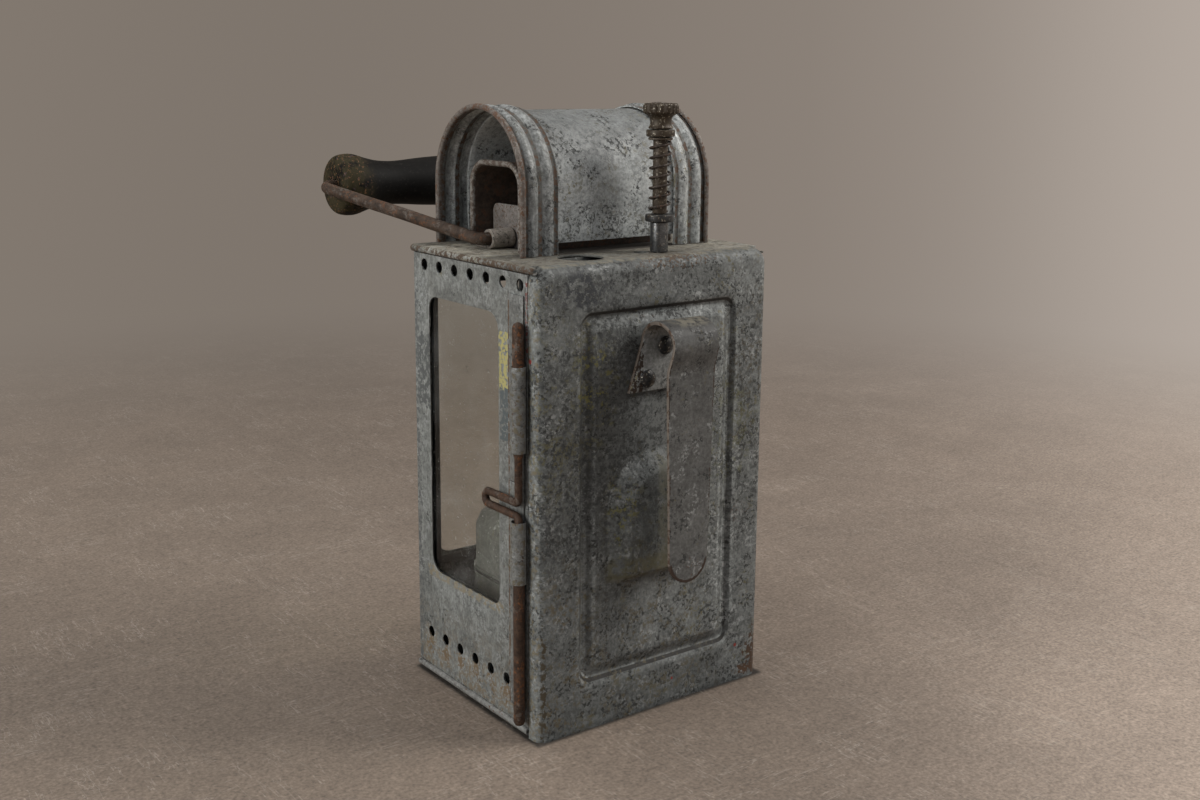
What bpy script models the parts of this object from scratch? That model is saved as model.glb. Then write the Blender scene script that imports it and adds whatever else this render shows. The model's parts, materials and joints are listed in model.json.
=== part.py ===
"""A sheet-metal carbide lamp with a tunnel hood, a bail with a turned grip, a side door and a drip valve.

Metres, +Z up, standing on z = 0 and centred on the casing. The back wall with the belt hook faces -Y,
the side door faces -X, and the bail lies towards +Y.
"""

import math

import bmesh
import bpy
from mathutils import Matrix, Vector

# General
SHEET = 0.0008
GAP = 0.0003
OVERRUN = 0.004
MILLIMETRE = 0.001
MERGE = 0.000001

# Casing
CASE_WIDTH = 0.124
CASE_DEPTH = 0.098
CASE_HEIGHT = 0.200
BEND = 0.005
BACK_FLANGE = 0.0025
TOP_CORNER = 0.0022
FOLD_RADIUS = 0.0015
CURL_RADIUS = 0.0011
CURL_PROUD = 0.0014
TURN_IN = 0.005
FRONT_FLANGE = 0.009

# Pressed frame and arched boss of the back wall
BEAD_LEFT = -0.042
BEAD_RIGHT = 0.0435
BEAD_LOW = 0.020
BEAD_HEAD = 0.0187
BEAD_WIDTH = 0.009
BEAD_DEPTH = 0.0018
BEAD_CORNER = 0.006
BEAD_CORNER_LOSS_SHARE = 0.35
BOSS_HALF_WIDTH = 0.0275
BOSS_RISE = 0.004
BOSS_RIM = 0.011
BOSS_LIP = 0.0045
BOSS_CORNER = 0.006
BOSS_ARCH_SHARE = 0.93
BOSS_HEIGHT_SHARES = (0.3075, 0.5975)

# Windows and vents
SIDE_WINDOW_BACK_MARGIN = 0.029
SIDE_WINDOW_FRONT_MARGIN = 0.013
SIDE_WINDOW_LOW = 0.052
SIDE_WINDOW_HEAD = 0.0215
FRONT_WINDOW_MARGIN = 0.011
FRONT_WINDOW_LOW = 0.054
FRONT_WINDOW_HEAD = 0.020
FRONT_WINDOW_CORNER = 0.006
SIDE_WINDOW_CORNERS = (0.0045, 0.0075, 0.0055, 0.0075)
VENT_RADIUS = 0.0026
TOP_VENT_BACK_MARGIN = 0.013
TOP_VENT_FRONT_MARGIN = 0.0094
TOP_VENT_HEAD = 0.008
LOW_VENT_BACK_MARGIN = 0.024
LOW_VENT_FRONT_MARGIN = 0.011
LOW_VENT_HEIGHT = 0.021
TOP_VENTS = 7
LOW_VENTS = 6
PANE = 0.002
PANE_MARGIN = 0.003

# Door hinge on the hidden front corner
HINGE_INSET = 0.005
HINGE_PIN_RADIUS = 0.0016
HINGE_LEAF = 0.0052
HINGE_KNUCKLE = 0.020
HINGE_SETBACK = 0.035

# Drop bolt on the door
BOLT_RADIUS = 0.0024
BOLT_WIRE_RADIUS = 0.00165
BOLT_SETBACK = 0.009
BOLT_LOW = 0.007
BOLT_HEAD = 0.022
LOOP_SPACING = 0.0055
LOOP_REACH = 0.025
LOOP_BEND = 0.0023
BOLT_KNUCKLE_WALL = 0.0006
BOLT_LEAF = 0.0115
BOLT_STRIP_RELIEF = 0.0001
BOLT_STRIP_MARGIN = 0.012
BOLT_STRIP_SPLIT_SHARE = 0.55
LOW_KNUCKLE_SHARES = (0.345, 0.4775)
HIGH_KNUCKLE_SHARES = (0.6225, 0.80)
BOLT_SHOULDER_SHARE = 0.45
LOOP_SHARE = 0.4875

# Tunnel hood
HOOD_INSET = 0.011
HOOD_BACK_SPACE = 0.0298
HOOD_FRONT_SPACE = 0.0018
HOOD_SPRING_RISE = 0.0275
COLLAR_LENGTH = 0.0195
COLLAR_LAP = 0.004
COLLAR_BEAD = 0.0013
HOOD_SLOT = 0.005
RIM_RADIUS = 0.0009

# Inner duct and chimney
DUCT_INSET = 0.009
DUCT_SIDE_SPACE = 0.0147
DUCT_RISE = 0.009
DUCT_CORNER = 0.009
CHIMNEY_INSET = 0.011
BAFFLE_SIDE_SPACE = 0.0034
BAFFLE_HEIGHT = 0.0184
BAFFLE_CORNER = 0.0035

# Bail
WIRE_RADIUS = 0.00275
STRAP = 0.0012
BRACKET_INSET = 0.017
BRACKET_LENGTH = 0.0115
BRACKET_LEAF = 0.009
BAIL_ELBOW_INSET = 0.0125
BAIL_SPREAD = 0.008
BAIL_REACH = 0.1127
BAIL_ELBOW = 0.005
BAIL_CORNER = 0.0065
BAIL_REST_DEG = 8.5

# Turned grip
GRIP_INSET = 0.0072
GRIP_END_RADIUS = 0.015
GRIP_WAIST_RADIUS = 0.01075
GRIP_BELLY_RADIUS = 0.0125

# Filler hole and drip valve
FILLER_RADIUS = 0.010
FILLER_X = -0.028
FILLER_SETBACK = 0.019
AIR_HOLE_RADIUS = 0.0033
AIR_HOLE_X = 0.0041
AIR_HOLE_SETBACK = 0.0187
VALVE_X = 0.011
VALVE_SETBACK = 0.015
NEEDLE_RADIUS = 0.0013
VALVE_TUBE_RADIUS = 0.0039
VALVE_TUBE_HEIGHT = 0.0125
VALVE_CAP_RADIUS = 0.0061
VALVE_CAP_HEIGHT = 0.0032
STEM_RADIUS = 0.0031
STEM_HEIGHT = 0.0321
SLOT_WIDTH = 0.0014
SPRING_RADIUS = 0.0043
SPRING_WIRE_RADIUS = 0.0005
SPRING_TURNS = 7
SPRING_POINTS = 10
WASHER_RADIUS = 0.0052
WASHER_HEIGHT = 0.001
COLLAR_DISC_RADIUS = 0.0061
COLLAR_DISC_HEIGHT = 0.003
KNOB_RADIUS = 0.0076
KNOB_HEIGHT = 0.0107
KNOB_HEAD = 0.004
FLUTES = 22
FLUTE_RADIUS = 0.0006

# Belt hook
HOOK_X = 0.0015
HOOK_STRIP = 0.0014
HOOK_HEAD = 0.0245
HOOK_LENGTH = 0.112
HOOK_FOOT_LENGTH = 0.031
HOOK_STANDOFF = 0.0185
HOOK_BULGE = 0.004
HOOK_LOOP_RISE = 0.0085
HOOK_NECK = 0.013
HOOK_FOOT_WIDTH = 0.038
HOOK_SHOULDER_WIDTH = 0.025
HOOK_TIP_WIDTH = 0.0205
RIVET_RADIUS = 0.0039
RIVET_RISE = 0.002
RIVET_SHANK = 0.0012
RIVET_SPREAD = 0.0094
RIVET_LOW_DROP = 0.0257
RIVET_HIGH_DROP = 0.0125

# Water tank, drip tube and reflector
TANK_RISE = 0.0186
TANK_SIDE_GAP = 0.0065
TANK_DEPTH = 0.0225
TANK_BACK_GAP = 0.0045
TANK_CORNER = 0.004
SEAT_RADIUS = 0.0045
SEAT_HEIGHT = 0.006
DRIP_RADIUS = 0.0016
DRIP_BORE = 0.0009
DRIP_BEND = 0.004
DRIP_FALL = 0.008
DRIP_SETBACK = 0.0188
REFLECTOR_RADIUS = 0.032
REFLECTOR_DEPTH = 0.009
REFLECTOR_LIFT = 0.0015

# Carbide pot, lid and burner
POT_SIDE_SPACE = 0.017
POT_BACK_SPACE = 0.011
POT_FRONT_SPACE = 0.014
POT_CORNER = 0.014
POT_HEIGHT = 0.0495
POT_BULGE = 0.0009
LID_HEIGHT = 0.027
SEAL = 0.0012
SEAL_WIDTH = 0.003
BURNER_BASE_RADIUS = 0.0095
BURNER_NECK_RADIUS = 0.0034
BURNER_CUP_RADIUS = 0.0056
BURNER_HEIGHT = 0.030
BURNER_BORE = 0.0014
TIP_RADIUS = 0.0034
TIP_HEIGHT = 0.005
JET_RADIUS = 0.0016
JET_LENGTH = 0.008
JET_LEAN_DEG = 38

# Facets
ROUND_STEPS = 20
BEND_STEPS = 4
CORNER_STEPS = 4
WALL_CORNER_STEPS = 5
SIDE_STEPS = 3
ROLL_STEPS = 14
FLUTE_STEPS = 6

# Worked out from the sizes above
HALF_SHEET = SHEET / 2
BACK_FACE = -CASE_DEPTH / 2
FRONT_FACE = CASE_DEPTH / 2
BOSS_LOW, BOSS_HIGH = [CASE_HEIGHT * share for share in BOSS_HEIGHT_SHARES]
SIDE_X = CASE_WIDTH / 2 + GAP / 2 - HALF_SHEET
BACK_Y = BACK_FACE + HALF_SHEET
FRONT_Y = FRONT_FACE - HALF_SHEET
WRAP_Y = FRONT_Y + SHEET + GAP
SEAM_Y = BACK_FACE + BEND + BACK_FLANGE + GAP
CURL_HEIGHT = 2 * CURL_RADIUS + SHEET
CURL_X = CASE_WIDTH / 2 + CURL_PROUD - CURL_RADIUS - HALF_SHEET
PAN_RISE = CURL_RADIUS + HALF_SHEET
PAN_HALF = CASE_WIDTH / 2 - HINGE_INSET + SHEET
PANEL_LOW = PAN_RISE + CURL_HEIGHT + GAP
PANEL_HIGH = CASE_HEIGHT - CURL_HEIGHT - GAP
PLATE_UNDERSIDE = CASE_HEIGHT - SHEET
DECK = CASE_HEIGHT + GAP
BEAD_HIGH = CASE_HEIGHT - BEAD_HEAD
SIDE_WINDOW_BACK = BACK_FACE + SIDE_WINDOW_BACK_MARGIN
SIDE_WINDOW_FRONT = FRONT_FACE - SIDE_WINDOW_FRONT_MARGIN
SIDE_WINDOW_HIGH = CASE_HEIGHT - SIDE_WINDOW_HEAD
FRONT_WINDOW_HALF = CASE_WIDTH / 2 - FRONT_WINDOW_MARGIN
FRONT_WINDOW_HIGH = CASE_HEIGHT - FRONT_WINDOW_HEAD
HINGE_HEIGHTS = (HINGE_SETBACK, CASE_HEIGHT - HINGE_SETBACK)
HINGE_ROLL = HINGE_PIN_RADIUS + GAP + HALF_SHEET
HINGE_X = -CASE_WIDTH / 2 + HINGE_INSET
HINGE_Y = WRAP_Y + HINGE_ROLL
BRACKET_ROLL = WIRE_RADIUS + GAP + STRAP / 2
PIVOT_Z = DECK + BRACKET_ROLL + STRAP / 2
BRACKET_OUTER = CASE_WIDTH / 2 - BRACKET_INSET
BAIL_ELBOW_X = CASE_WIDTH / 2 - BAIL_ELBOW_INSET
BAIL_CORNER_X = CASE_WIDTH / 2 + BAIL_SPREAD
GRIP_LENGTH = 2 * (BAIL_CORNER_X - GRIP_INSET)
HOOD_LENGTH = CASE_WIDTH - 2 * HOOD_INSET
DUCT_LENGTH = HOOD_LENGTH - 2 * DUCT_INSET
CHIMNEY_LENGTH = DUCT_LENGTH - 2 * CHIMNEY_INSET
HOOD_RADIUS = (CASE_DEPTH - HOOD_BACK_SPACE - HOOD_FRONT_SPACE) / 2
HOOD_CENTRE_Y = FRONT_FACE - HOOD_FRONT_SPACE - HOOD_RADIUS
HOOD_CENTRE_Z = CASE_HEIGHT + HOOD_SPRING_RISE
DUCT_WIDTH = 2 * (HOOD_RADIUS - DUCT_SIDE_SPACE)
DUCT_TOP = HOOD_CENTRE_Z + DUCT_RISE
BAFFLE_WIDTH = DUCT_WIDTH - 2 * BAFFLE_SIDE_SPACE
BOLT_ROLL = BOLT_RADIUS + GAP + BOLT_KNUCKLE_WALL / 2
BOLT_X = -(SIDE_X + HALF_SHEET + GAP + BOLT_ROLL + BOLT_KNUCKLE_WALL / 2)
BOLT_Y = BACK_FACE + BOLT_SETBACK
BOLT_HIGH = CASE_HEIGHT - BOLT_HEAD
BOLT_SHOULDER = CASE_HEIGHT * BOLT_SHOULDER_SHARE
LOOP_LOW = CASE_HEIGHT * LOOP_SHARE
LOW_KNUCKLE = [CASE_HEIGHT * share for share in LOW_KNUCKLE_SHARES]
HIGH_KNUCKLE = [CASE_HEIGHT * share for share in HIGH_KNUCKLE_SHARES]
BOLT_STRIP_SPLIT = CASE_HEIGHT * BOLT_STRIP_SPLIT_SHARE
FILLER_Y = BACK_FACE + FILLER_SETBACK
AIR_HOLE_Y = BACK_FACE + AIR_HOLE_SETBACK
VALVE_Y = BACK_FACE + VALVE_SETBACK
NEEDLE_BORE = NEEDLE_RADIUS + GAP
CAP_Z = DECK + VALVE_TUBE_HEIGHT + GAP
SPRING_LOW = CAP_Z + VALVE_CAP_HEIGHT
STEM_TOP = SPRING_LOW + GAP + STEM_HEIGHT
KNOB_COLLAR_Z = STEM_TOP + GAP
KNOB_Z = KNOB_COLLAR_Z + COLLAR_DISC_HEIGHT + GAP
WASHER_Z = KNOB_COLLAR_Z - GAP - WASHER_HEIGHT
POT_HALF_WIDTH = CASE_WIDTH / 2 - POT_SIDE_SPACE
POT_BACK = BACK_FACE + POT_BACK_SPACE
POT_FRONT = FRONT_FACE - POT_FRONT_SPACE
POT_BOTTOM = SHEET + GAP
LID_LOW = POT_BOTTOM + POT_HEIGHT + SEAL + 2 * GAP
LID_TOP = LID_LOW + LID_HEIGHT
BURNER_Y = HOOD_CENTRE_Y
BURNER_Z = LID_TOP + GAP
DRIP_Y = BURNER_Y - DRIP_SETBACK
TANK_HALF_WIDTH = CASE_WIDTH / 2 - TANK_SIDE_GAP
TANK_BACK = BACK_FACE + TANK_BACK_GAP
TANK_FRONT = TANK_BACK + TANK_DEPTH
TANK_BOTTOM = LID_TOP + TANK_RISE
SEAT_Z = TANK_BOTTOM + SHEET + GAP
REFLECTOR_HEIGHT = TANK_BOTTOM + REFLECTOR_LIFT + REFLECTOR_RADIUS
HOOK_WALL_Y = BACK_FACE - GAP
HOOK_TOP = CASE_HEIGHT - HOOK_HEAD
HOOK_TIP = HOOK_TOP - HOOK_LENGTH

PARTS = "carbide_lamp"
CUTTERS = "cutters"
LOOKS = {
    "galvanised": ((0.42, 0.44, 0.43), 0.45, 0.7),
    "dark_sheet": ((0.10, 0.09, 0.08), 0.7, 0.5),
    "rusty_wire": ((0.20, 0.12, 0.08), 0.6, 0.6),
    "bright_steel": ((0.62, 0.61, 0.58), 0.3, 0.9),
    "black_wood": ((0.02, 0.02, 0.02), 0.5, 0.0),
    "brown_knob": ((0.13, 0.08, 0.05), 0.5, 0.1),
    "brass": ((0.50, 0.38, 0.16), 0.4, 0.9),
    "ceramic": ((0.75, 0.72, 0.66), 0.6, 0.0),
    "rubber": ((0.04, 0.04, 0.04), 0.8, 0.0),
    "glass": ((0.85, 0.90, 0.88), 0.05, 0.0),
}


def clear_scene():
    for item in list(bpy.data.objects):
        bpy.data.objects.remove(item, do_unlink=True)


def collection(name):
    group = bpy.data.collections.new(name)
    bpy.context.scene.collection.children.link(group)
    return group


def material(name, look):
    colour, roughness, metallic = LOOKS[look]
    made = bpy.data.materials.new(name)
    made.use_nodes = True
    shader = made.node_tree.nodes["Principled BSDF"]
    shader.inputs["Base Color"].default_value = (*colour, 1)
    shader.inputs["Roughness"].default_value = roughness
    shader.inputs["Metallic"].default_value = metallic
    return made


def place(name, data, look):
    """Links an object for a node, with a material of its own."""
    piece = bpy.data.objects.new(name, data)
    bpy.data.collections[PARTS].objects.link(piece)
    data.materials.append(material(name, look))
    return piece


def cutter(name, bm):
    data = bpy.data.meshes.new(name)
    bmesh.ops.recalc_face_normals(bm, faces=bm.faces)
    bm.to_mesh(data)
    bm.free()
    tool = bpy.data.objects.new(name, data)
    bpy.data.collections[CUTTERS].objects.link(tool)
    tool.hide_render = True
    tool.display_type = "WIRE"
    return tool


def boolean(piece, tool, operation="DIFFERENCE"):
    cut = piece.modifiers.new(tool.name, "BOOLEAN")
    cut.operation = operation
    cut.solver = "EXACT"
    cut.object = tool


def thicken(piece, thickness=SHEET):
    """Gives a surface its sheet thickness, half to each side."""
    shell = piece.modifiers.new("sheet", "SOLIDIFY")
    shell.thickness = thickness
    shell.offset = 0
    shell.use_even_offset = True


def from_bmesh(name, bm, look):
    bmesh.ops.remove_doubles(bm, verts=bm.verts, dist=MERGE)
    bmesh.ops.recalc_face_normals(bm, faces=bm.faces)
    data = bpy.data.meshes.new(name)
    bm.to_mesh(data)
    bm.free()
    return place(name, data, look)


def row(bm, points):
    return [bm.verts.new(point) for point in points]


def strip(bm, first, second, closed=False):
    """Faces between two rows of as many vertices."""
    count = len(first)
    for i in range(count if closed else count - 1):
        j = (i + 1) % count
        bm.faces.new((first[i], first[j], second[j], second[i]))


def arc(centre, radius, start, sweep, steps=ROUND_STEPS):
    """Points of a plane arc, angles in degrees."""
    return [
        (
            centre[0] + radius * math.cos(math.radians(start + sweep * i / steps)),
            centre[1] + radius * math.sin(math.radians(start + sweep * i / steps)),
        )
        for i in range(steps + 1)
    ]


def rounded(points, radius, steps=BEND_STEPS):
    """An open path with its corners rounded to one radius."""
    points = [Vector(point) for point in points]
    path = [points[0]]
    for before, corner, after in zip(points, points[1:], points[2:]):
        inward = (before - corner).normalized()
        outward = (after - corner).normalized()
        half = inward.angle(outward) / 2
        bisector = (inward + outward).normalized()
        centre = corner + bisector * (radius / math.sin(half))
        start = corner + inward * (radius / math.tan(half)) - centre
        end = corner + outward * (radius / math.tan(half)) - centre
        turn = start.angle(end)
        for i in range(steps + 1):
            share = i / steps
            weight = math.sin(turn)
            path.append(
                centre
                + start * (math.sin(turn * (1 - share)) / weight)
                + end * (math.sin(turn * share) / weight)
            )
    path.append(points[-1])
    return path


def rounded_rectangle(low, high, radius, steps=CORNER_STEPS):
    """A closed plane outline from its low and high corners, with one radius or one for each corner."""
    radii = radius if isinstance(radius, tuple) else 4 * (radius,)
    corners = ((low[0], low[1]), (high[0], low[1]), (high[0], high[1]), (low[0], high[1]))
    inward = ((1, 1), (-1, 1), (-1, -1), (1, -1))
    outline = []
    for i, (corner, turn, reach) in enumerate(zip(corners, inward, radii)):
        centre = (corner[0] + turn[0] * reach, corner[1] + turn[1] * reach)
        outline += arc(centre, reach, 180 + 90 * i, 90, steps)
    return outline


def fold(name, profile, axis, low, high, look, thickness=SHEET):
    """A bent sheet: a plane profile pushed along an axis."""
    bm = bmesh.new()
    rows = [row(bm, [upright(axis, point, end) for point in profile]) for end in (low, high)]
    strip(bm, rows[0], rows[1])
    piece = from_bmesh(name, bm, look)
    thicken(piece, thickness)
    return piece


def upright(axis, point, along):
    if axis == "X":
        return (along, point[0], point[1])
    if axis == "Y":
        return (point[0], along, point[1])
    return (point[0], point[1], along)


def prism(bm, axis, outline, low, high):
    """A closed solid from a closed plane outline, for a piece or a cutter."""
    ends = [row(bm, [upright(axis, point, end) for point in outline]) for end in (low, high)]
    strip(bm, ends[0], ends[1], closed=True)
    bm.faces.new(ends[0])
    bm.faces.new(ends[1])


def plate(name, axis, outline, low, high, look):
    bm = bmesh.new()
    prism(bm, axis, outline, low, high)
    return from_bmesh(name, bm, look)


def turned(name, profile, look, location, tilt=None, steps=ROUND_STEPS, sheet=0):
    """A turned piece: a profile of (radius, height) points round its own Z axis, up its outer side."""
    bm = bmesh.new()
    points = row(bm, [(radius, 0, height) for radius, height in reversed(profile)])
    ends = list(zip(points, points[1:]))
    if not sheet:
        ends.append((points[-1], points[0]))
    for first, second in ends:
        if first.co.x > 0 or second.co.x > 0:
            bm.edges.new((first, second))
    data = bpy.data.meshes.new(name)
    bm.to_mesh(data)
    bm.free()
    piece = place(name, data, look)
    screw = piece.modifiers.new("turn", "SCREW")
    screw.steps = steps
    screw.render_steps = steps
    screw.use_merge_vertices = True
    screw.merge_threshold = MERGE
    if sheet:
        thicken(piece, sheet)
    piece.location = location
    if tilt:
        piece.rotation_euler = tilt
    return piece


def wire(name, path, radius, look, radii=None, resolution=2, closed=False):
    """A round wire or rod along a path, as a curve with filled ends."""
    curve = bpy.data.curves.new(name, "CURVE")
    curve.dimensions = "3D"
    curve.bevel_depth = radius
    curve.bevel_resolution = resolution
    curve.use_fill_caps = True
    spline = curve.splines.new("POLY")
    spline.points.add(len(path) - 1)
    for i, point in enumerate(path):
        spline.points[i].co = (*point, 1)
        spline.points[i].radius = radii[i] if radii else 1
    spline.use_cyclic_u = closed
    return place(name, curve, look)


def as_mesh(piece):
    """Turns a curve into a closed mesh, so that it can be cut or joined."""
    graph = bpy.context.evaluated_depsgraph_get()
    data = bpy.data.meshes.new_from_object(piece.evaluated_get(graph))
    bm = bmesh.new()
    bm.from_mesh(data)
    bmesh.ops.remove_doubles(bm, verts=bm.verts, dist=MERGE)
    bmesh.ops.recalc_face_normals(bm, faces=bm.faces)
    bm.to_mesh(data)
    bm.free()
    name = piece.name
    matrix = piece.matrix_world.copy()
    groups = list(piece.users_collection)
    bpy.data.objects.remove(piece, do_unlink=True)
    solid = bpy.data.objects.new(name, data)
    solid.matrix_world = matrix
    for group in groups:
        group.objects.link(solid)
    return solid


def parent(piece, empty):
    bpy.context.view_layer.update()
    piece.parent = empty
    piece.matrix_parent_inverse = empty.matrix_world.inverted()


def joint(name, location):
    empty = bpy.data.objects.new(name, None)
    empty.location = location
    bpy.data.collections[PARTS].objects.link(empty)
    return empty


def wall_outline(half_width, low, high, low_corner, high_corner, shift=0):
    """Corner arcs and side points of an upright rectangle, clockwise from its lower left corner."""
    corners = (
        (-half_width + low_corner, low + low_corner, low_corner, 270),
        (-half_width + high_corner, high - high_corner, high_corner, 180),
        (half_width - high_corner, high - high_corner, high_corner, 90),
        (half_width - low_corner, low + low_corner, low_corner, 0),
    )
    arcs = [arc((x + shift, z), radius, start, -90, WALL_CORNER_STEPS) for x, z, radius, start in corners]
    outline = []
    for i, curve in enumerate(arcs):
        outline += curve
        start, end = curve[-1], arcs[(i + 1) % len(arcs)][0]
        for step in range(1, SIDE_STEPS):
            share = step / SIDE_STEPS
            outline.append(
                (start[0] + (end[0] - start[0]) * share, start[1] + (end[1] - start[1]) * share)
            )
    return outline


def back_shell():
    """Back wall with rounded top and sides, a pressed frame and a raised arch-topped boss."""
    bm = bmesh.new()
    half = CASE_WIDTH / 2 - HALF_SHEET
    top = CASE_HEIGHT - HALF_SHEET
    bend = BEND - HALF_SHEET

    def loop(outline, y):
        return row(bm, [(x, y, z) for x, z in outline])

    flat = wall_outline(half - bend, 0, top - bend, 0, TOP_CORNER)
    bead_half = (BEAD_RIGHT - BEAD_LEFT) / 2
    bead_shift = (BEAD_RIGHT + BEAD_LEFT) / 2
    bead_shares = ((0, 0), (0.22, 1), (0.4, 1), (1, 0))
    boss_shares = ((0, 0), (0.3, 0.3), (0.7, 0.8), (1, 1))
    loops = [loop(flat, BACK_Y)]
    for inset_share, depth_share in bead_shares:
        inset = BEAD_WIDTH * inset_share
        corner = BEAD_CORNER - inset * BEAD_CORNER_LOSS_SHARE
        outline = wall_outline(
            bead_half - inset, BEAD_LOW + inset, BEAD_HIGH - inset, corner, corner, bead_shift
        )
        loops.append(loop(outline, BACK_Y + BEAD_DEPTH * depth_share))
    for inset_share, rise_share in boss_shares:
        inset = BOSS_RIM * inset_share
        lip = BOSS_LIP * inset_share
        boss_half = BOSS_HALF_WIDTH - inset
        outline = wall_outline(
            boss_half, BOSS_LOW + lip, BOSS_HIGH - inset, BOSS_CORNER - lip / 2, boss_half * BOSS_ARCH_SHARE
        )
        loops.append(loop(outline, BACK_Y - BOSS_RISE * rise_share))
    for outer, inner in zip(loops, loops[1:]):
        strip(bm, outer, inner, closed=True)
    centre = bm.verts.new((0, BACK_Y - BOSS_RISE, (BOSS_LOW + BOSS_HIGH) / 2))
    for i, vertex in enumerate(loops[-1]):
        bm.faces.new((vertex, loops[-1][(i + 1) % len(flat)], centre))

    open_count = len(flat) - SIDE_STEPS + 1
    before = loops[0][:open_count]
    for step in range(1, BEND_STEPS + 2):
        angle = math.radians(90) * min(step, BEND_STEPS) / BEND_STEPS
        grow = bend * math.sin(angle)
        y = BACK_Y + bend * (1 - math.cos(angle))
        if step > BEND_STEPS:
            y += BACK_FLANGE
        outline = wall_outline(half - bend + grow, 0, top - bend + grow, 0, TOP_CORNER + grow)
        after = loop(outline[:open_count], y)
        strip(bm, before, after)
        before = after
    thicken(from_bmesh("back_shell", bm, "galvanised"))


def curl(side, upper):
    """Rolled hem of the top plate or the base pan, from its free end to the sheet."""
    z = CASE_HEIGHT - HALF_SHEET - CURL_RADIUS if upper else PAN_RISE + HALF_SHEET + CURL_RADIUS
    start, sweep = (-20, -250) if upper else (20, 250)
    points = arc((-CURL_X, z), CURL_RADIUS, start, sweep, ROLL_STEPS)
    if side > 0:
        points = [(-x, height) for x, height in reversed(points)]
    return points


def curled_sheet(name, profile, front_drop, edge_half, notch_spans, notch_heights):
    """A plate with rolled sides, a turned front edge and notches behind for the back shell."""
    bm = bmesh.new()
    back = BACK_FACE + SHEET + GAP + BEAD_DEPTH
    front = WRAP_Y if front_drop < 0 else FRONT_Y
    rows = [row(bm, [(x, y, z) for x, z in profile]) for y in (back, front)]
    strip(bm, rows[0], rows[1])
    level = profile[len(profile) // 2][1]
    edge = [v for v in rows[1] if abs(v.co.z - level) < MERGE and abs(v.co.x) <= edge_half]
    lip = row(bm, [(v.co.x, v.co.y, v.co.z + front_drop) for v in edge])
    strip(bm, edge, lip)
    piece = from_bmesh(name, bm, "galvanised")
    thicken(piece)
    notch = bmesh.new()
    for low_x, high_x in notch_spans:
        outline = ((low_x, back - OVERRUN), (high_x, back - OVERRUN), (high_x, SEAM_Y), (low_x, SEAM_Y))
        prism(notch, "Z", outline, *notch_heights)
    boolean(piece, cutter(name + "_notch", notch))
    return piece


def top_plate():
    """Deck of the casing, with its filler, vent, valve and chimney holes."""
    profile = curl(-1, True) + curl(1, True)
    drop = HALF_SHEET - CURL_HEIGHT
    notch_half = CURL_X - CURL_RADIUS / 2
    notch_heights = (PLATE_UNDERSIDE - CURL_RADIUS / 2, CASE_HEIGHT + OVERRUN)
    piece = curled_sheet("top_plate", profile, drop, CURL_X + SHEET, [(-notch_half, notch_half)], notch_heights)
    low, high = PLATE_UNDERSIDE - OVERRUN, CASE_HEIGHT + OVERRUN
    holes = bmesh.new()
    for centre, radius in (
        ((FILLER_X, FILLER_Y), FILLER_RADIUS),
        ((AIR_HOLE_X, AIR_HOLE_Y), AIR_HOLE_RADIUS),
        ((VALVE_X, VALVE_Y), NEEDLE_BORE + SHEET),
    ):
        prism(holes, "Z", arc(centre, radius, 0, 360)[:-1], low, high)
    half = (CHIMNEY_LENGTH / 2, BAFFLE_WIDTH / 2 - GAP)
    outline = rounded_rectangle(
        (-half[0], HOOD_CENTRE_Y - half[1]), (half[0], HOOD_CENTRE_Y + half[1]), BAFFLE_CORNER
    )
    prism(holes, "Z", outline, low, high)
    boolean(piece, cutter("top_plate_holes", holes))


def base_pan():
    """Inset bottom with rolled ledges under the side panels."""
    left = curl(-1, False)
    profile = left + [(-PAN_HALF - SHEET, left[-1][1]), (-PAN_HALF, HALF_SHEET)]
    profile += [(-x, z) for x, z in reversed(profile)]
    wide = CURL_X + CURL_HEIGHT
    spans = [(-wide, -PAN_HALF), (PAN_HALF, wide)]
    rise = PANEL_LOW - GAP - HALF_SHEET
    curled_sheet("base_pan", profile, rise, PAN_HALF + MERGE, spans, (-OVERRUN, PANEL_LOW + OVERRUN))


def vent_row(back_margin, front_margin, count, height):
    pitch = (CASE_DEPTH - back_margin - front_margin) / (count - 1)
    return [(BACK_FACE + back_margin + pitch * i, height) for i in range(count)]


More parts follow.
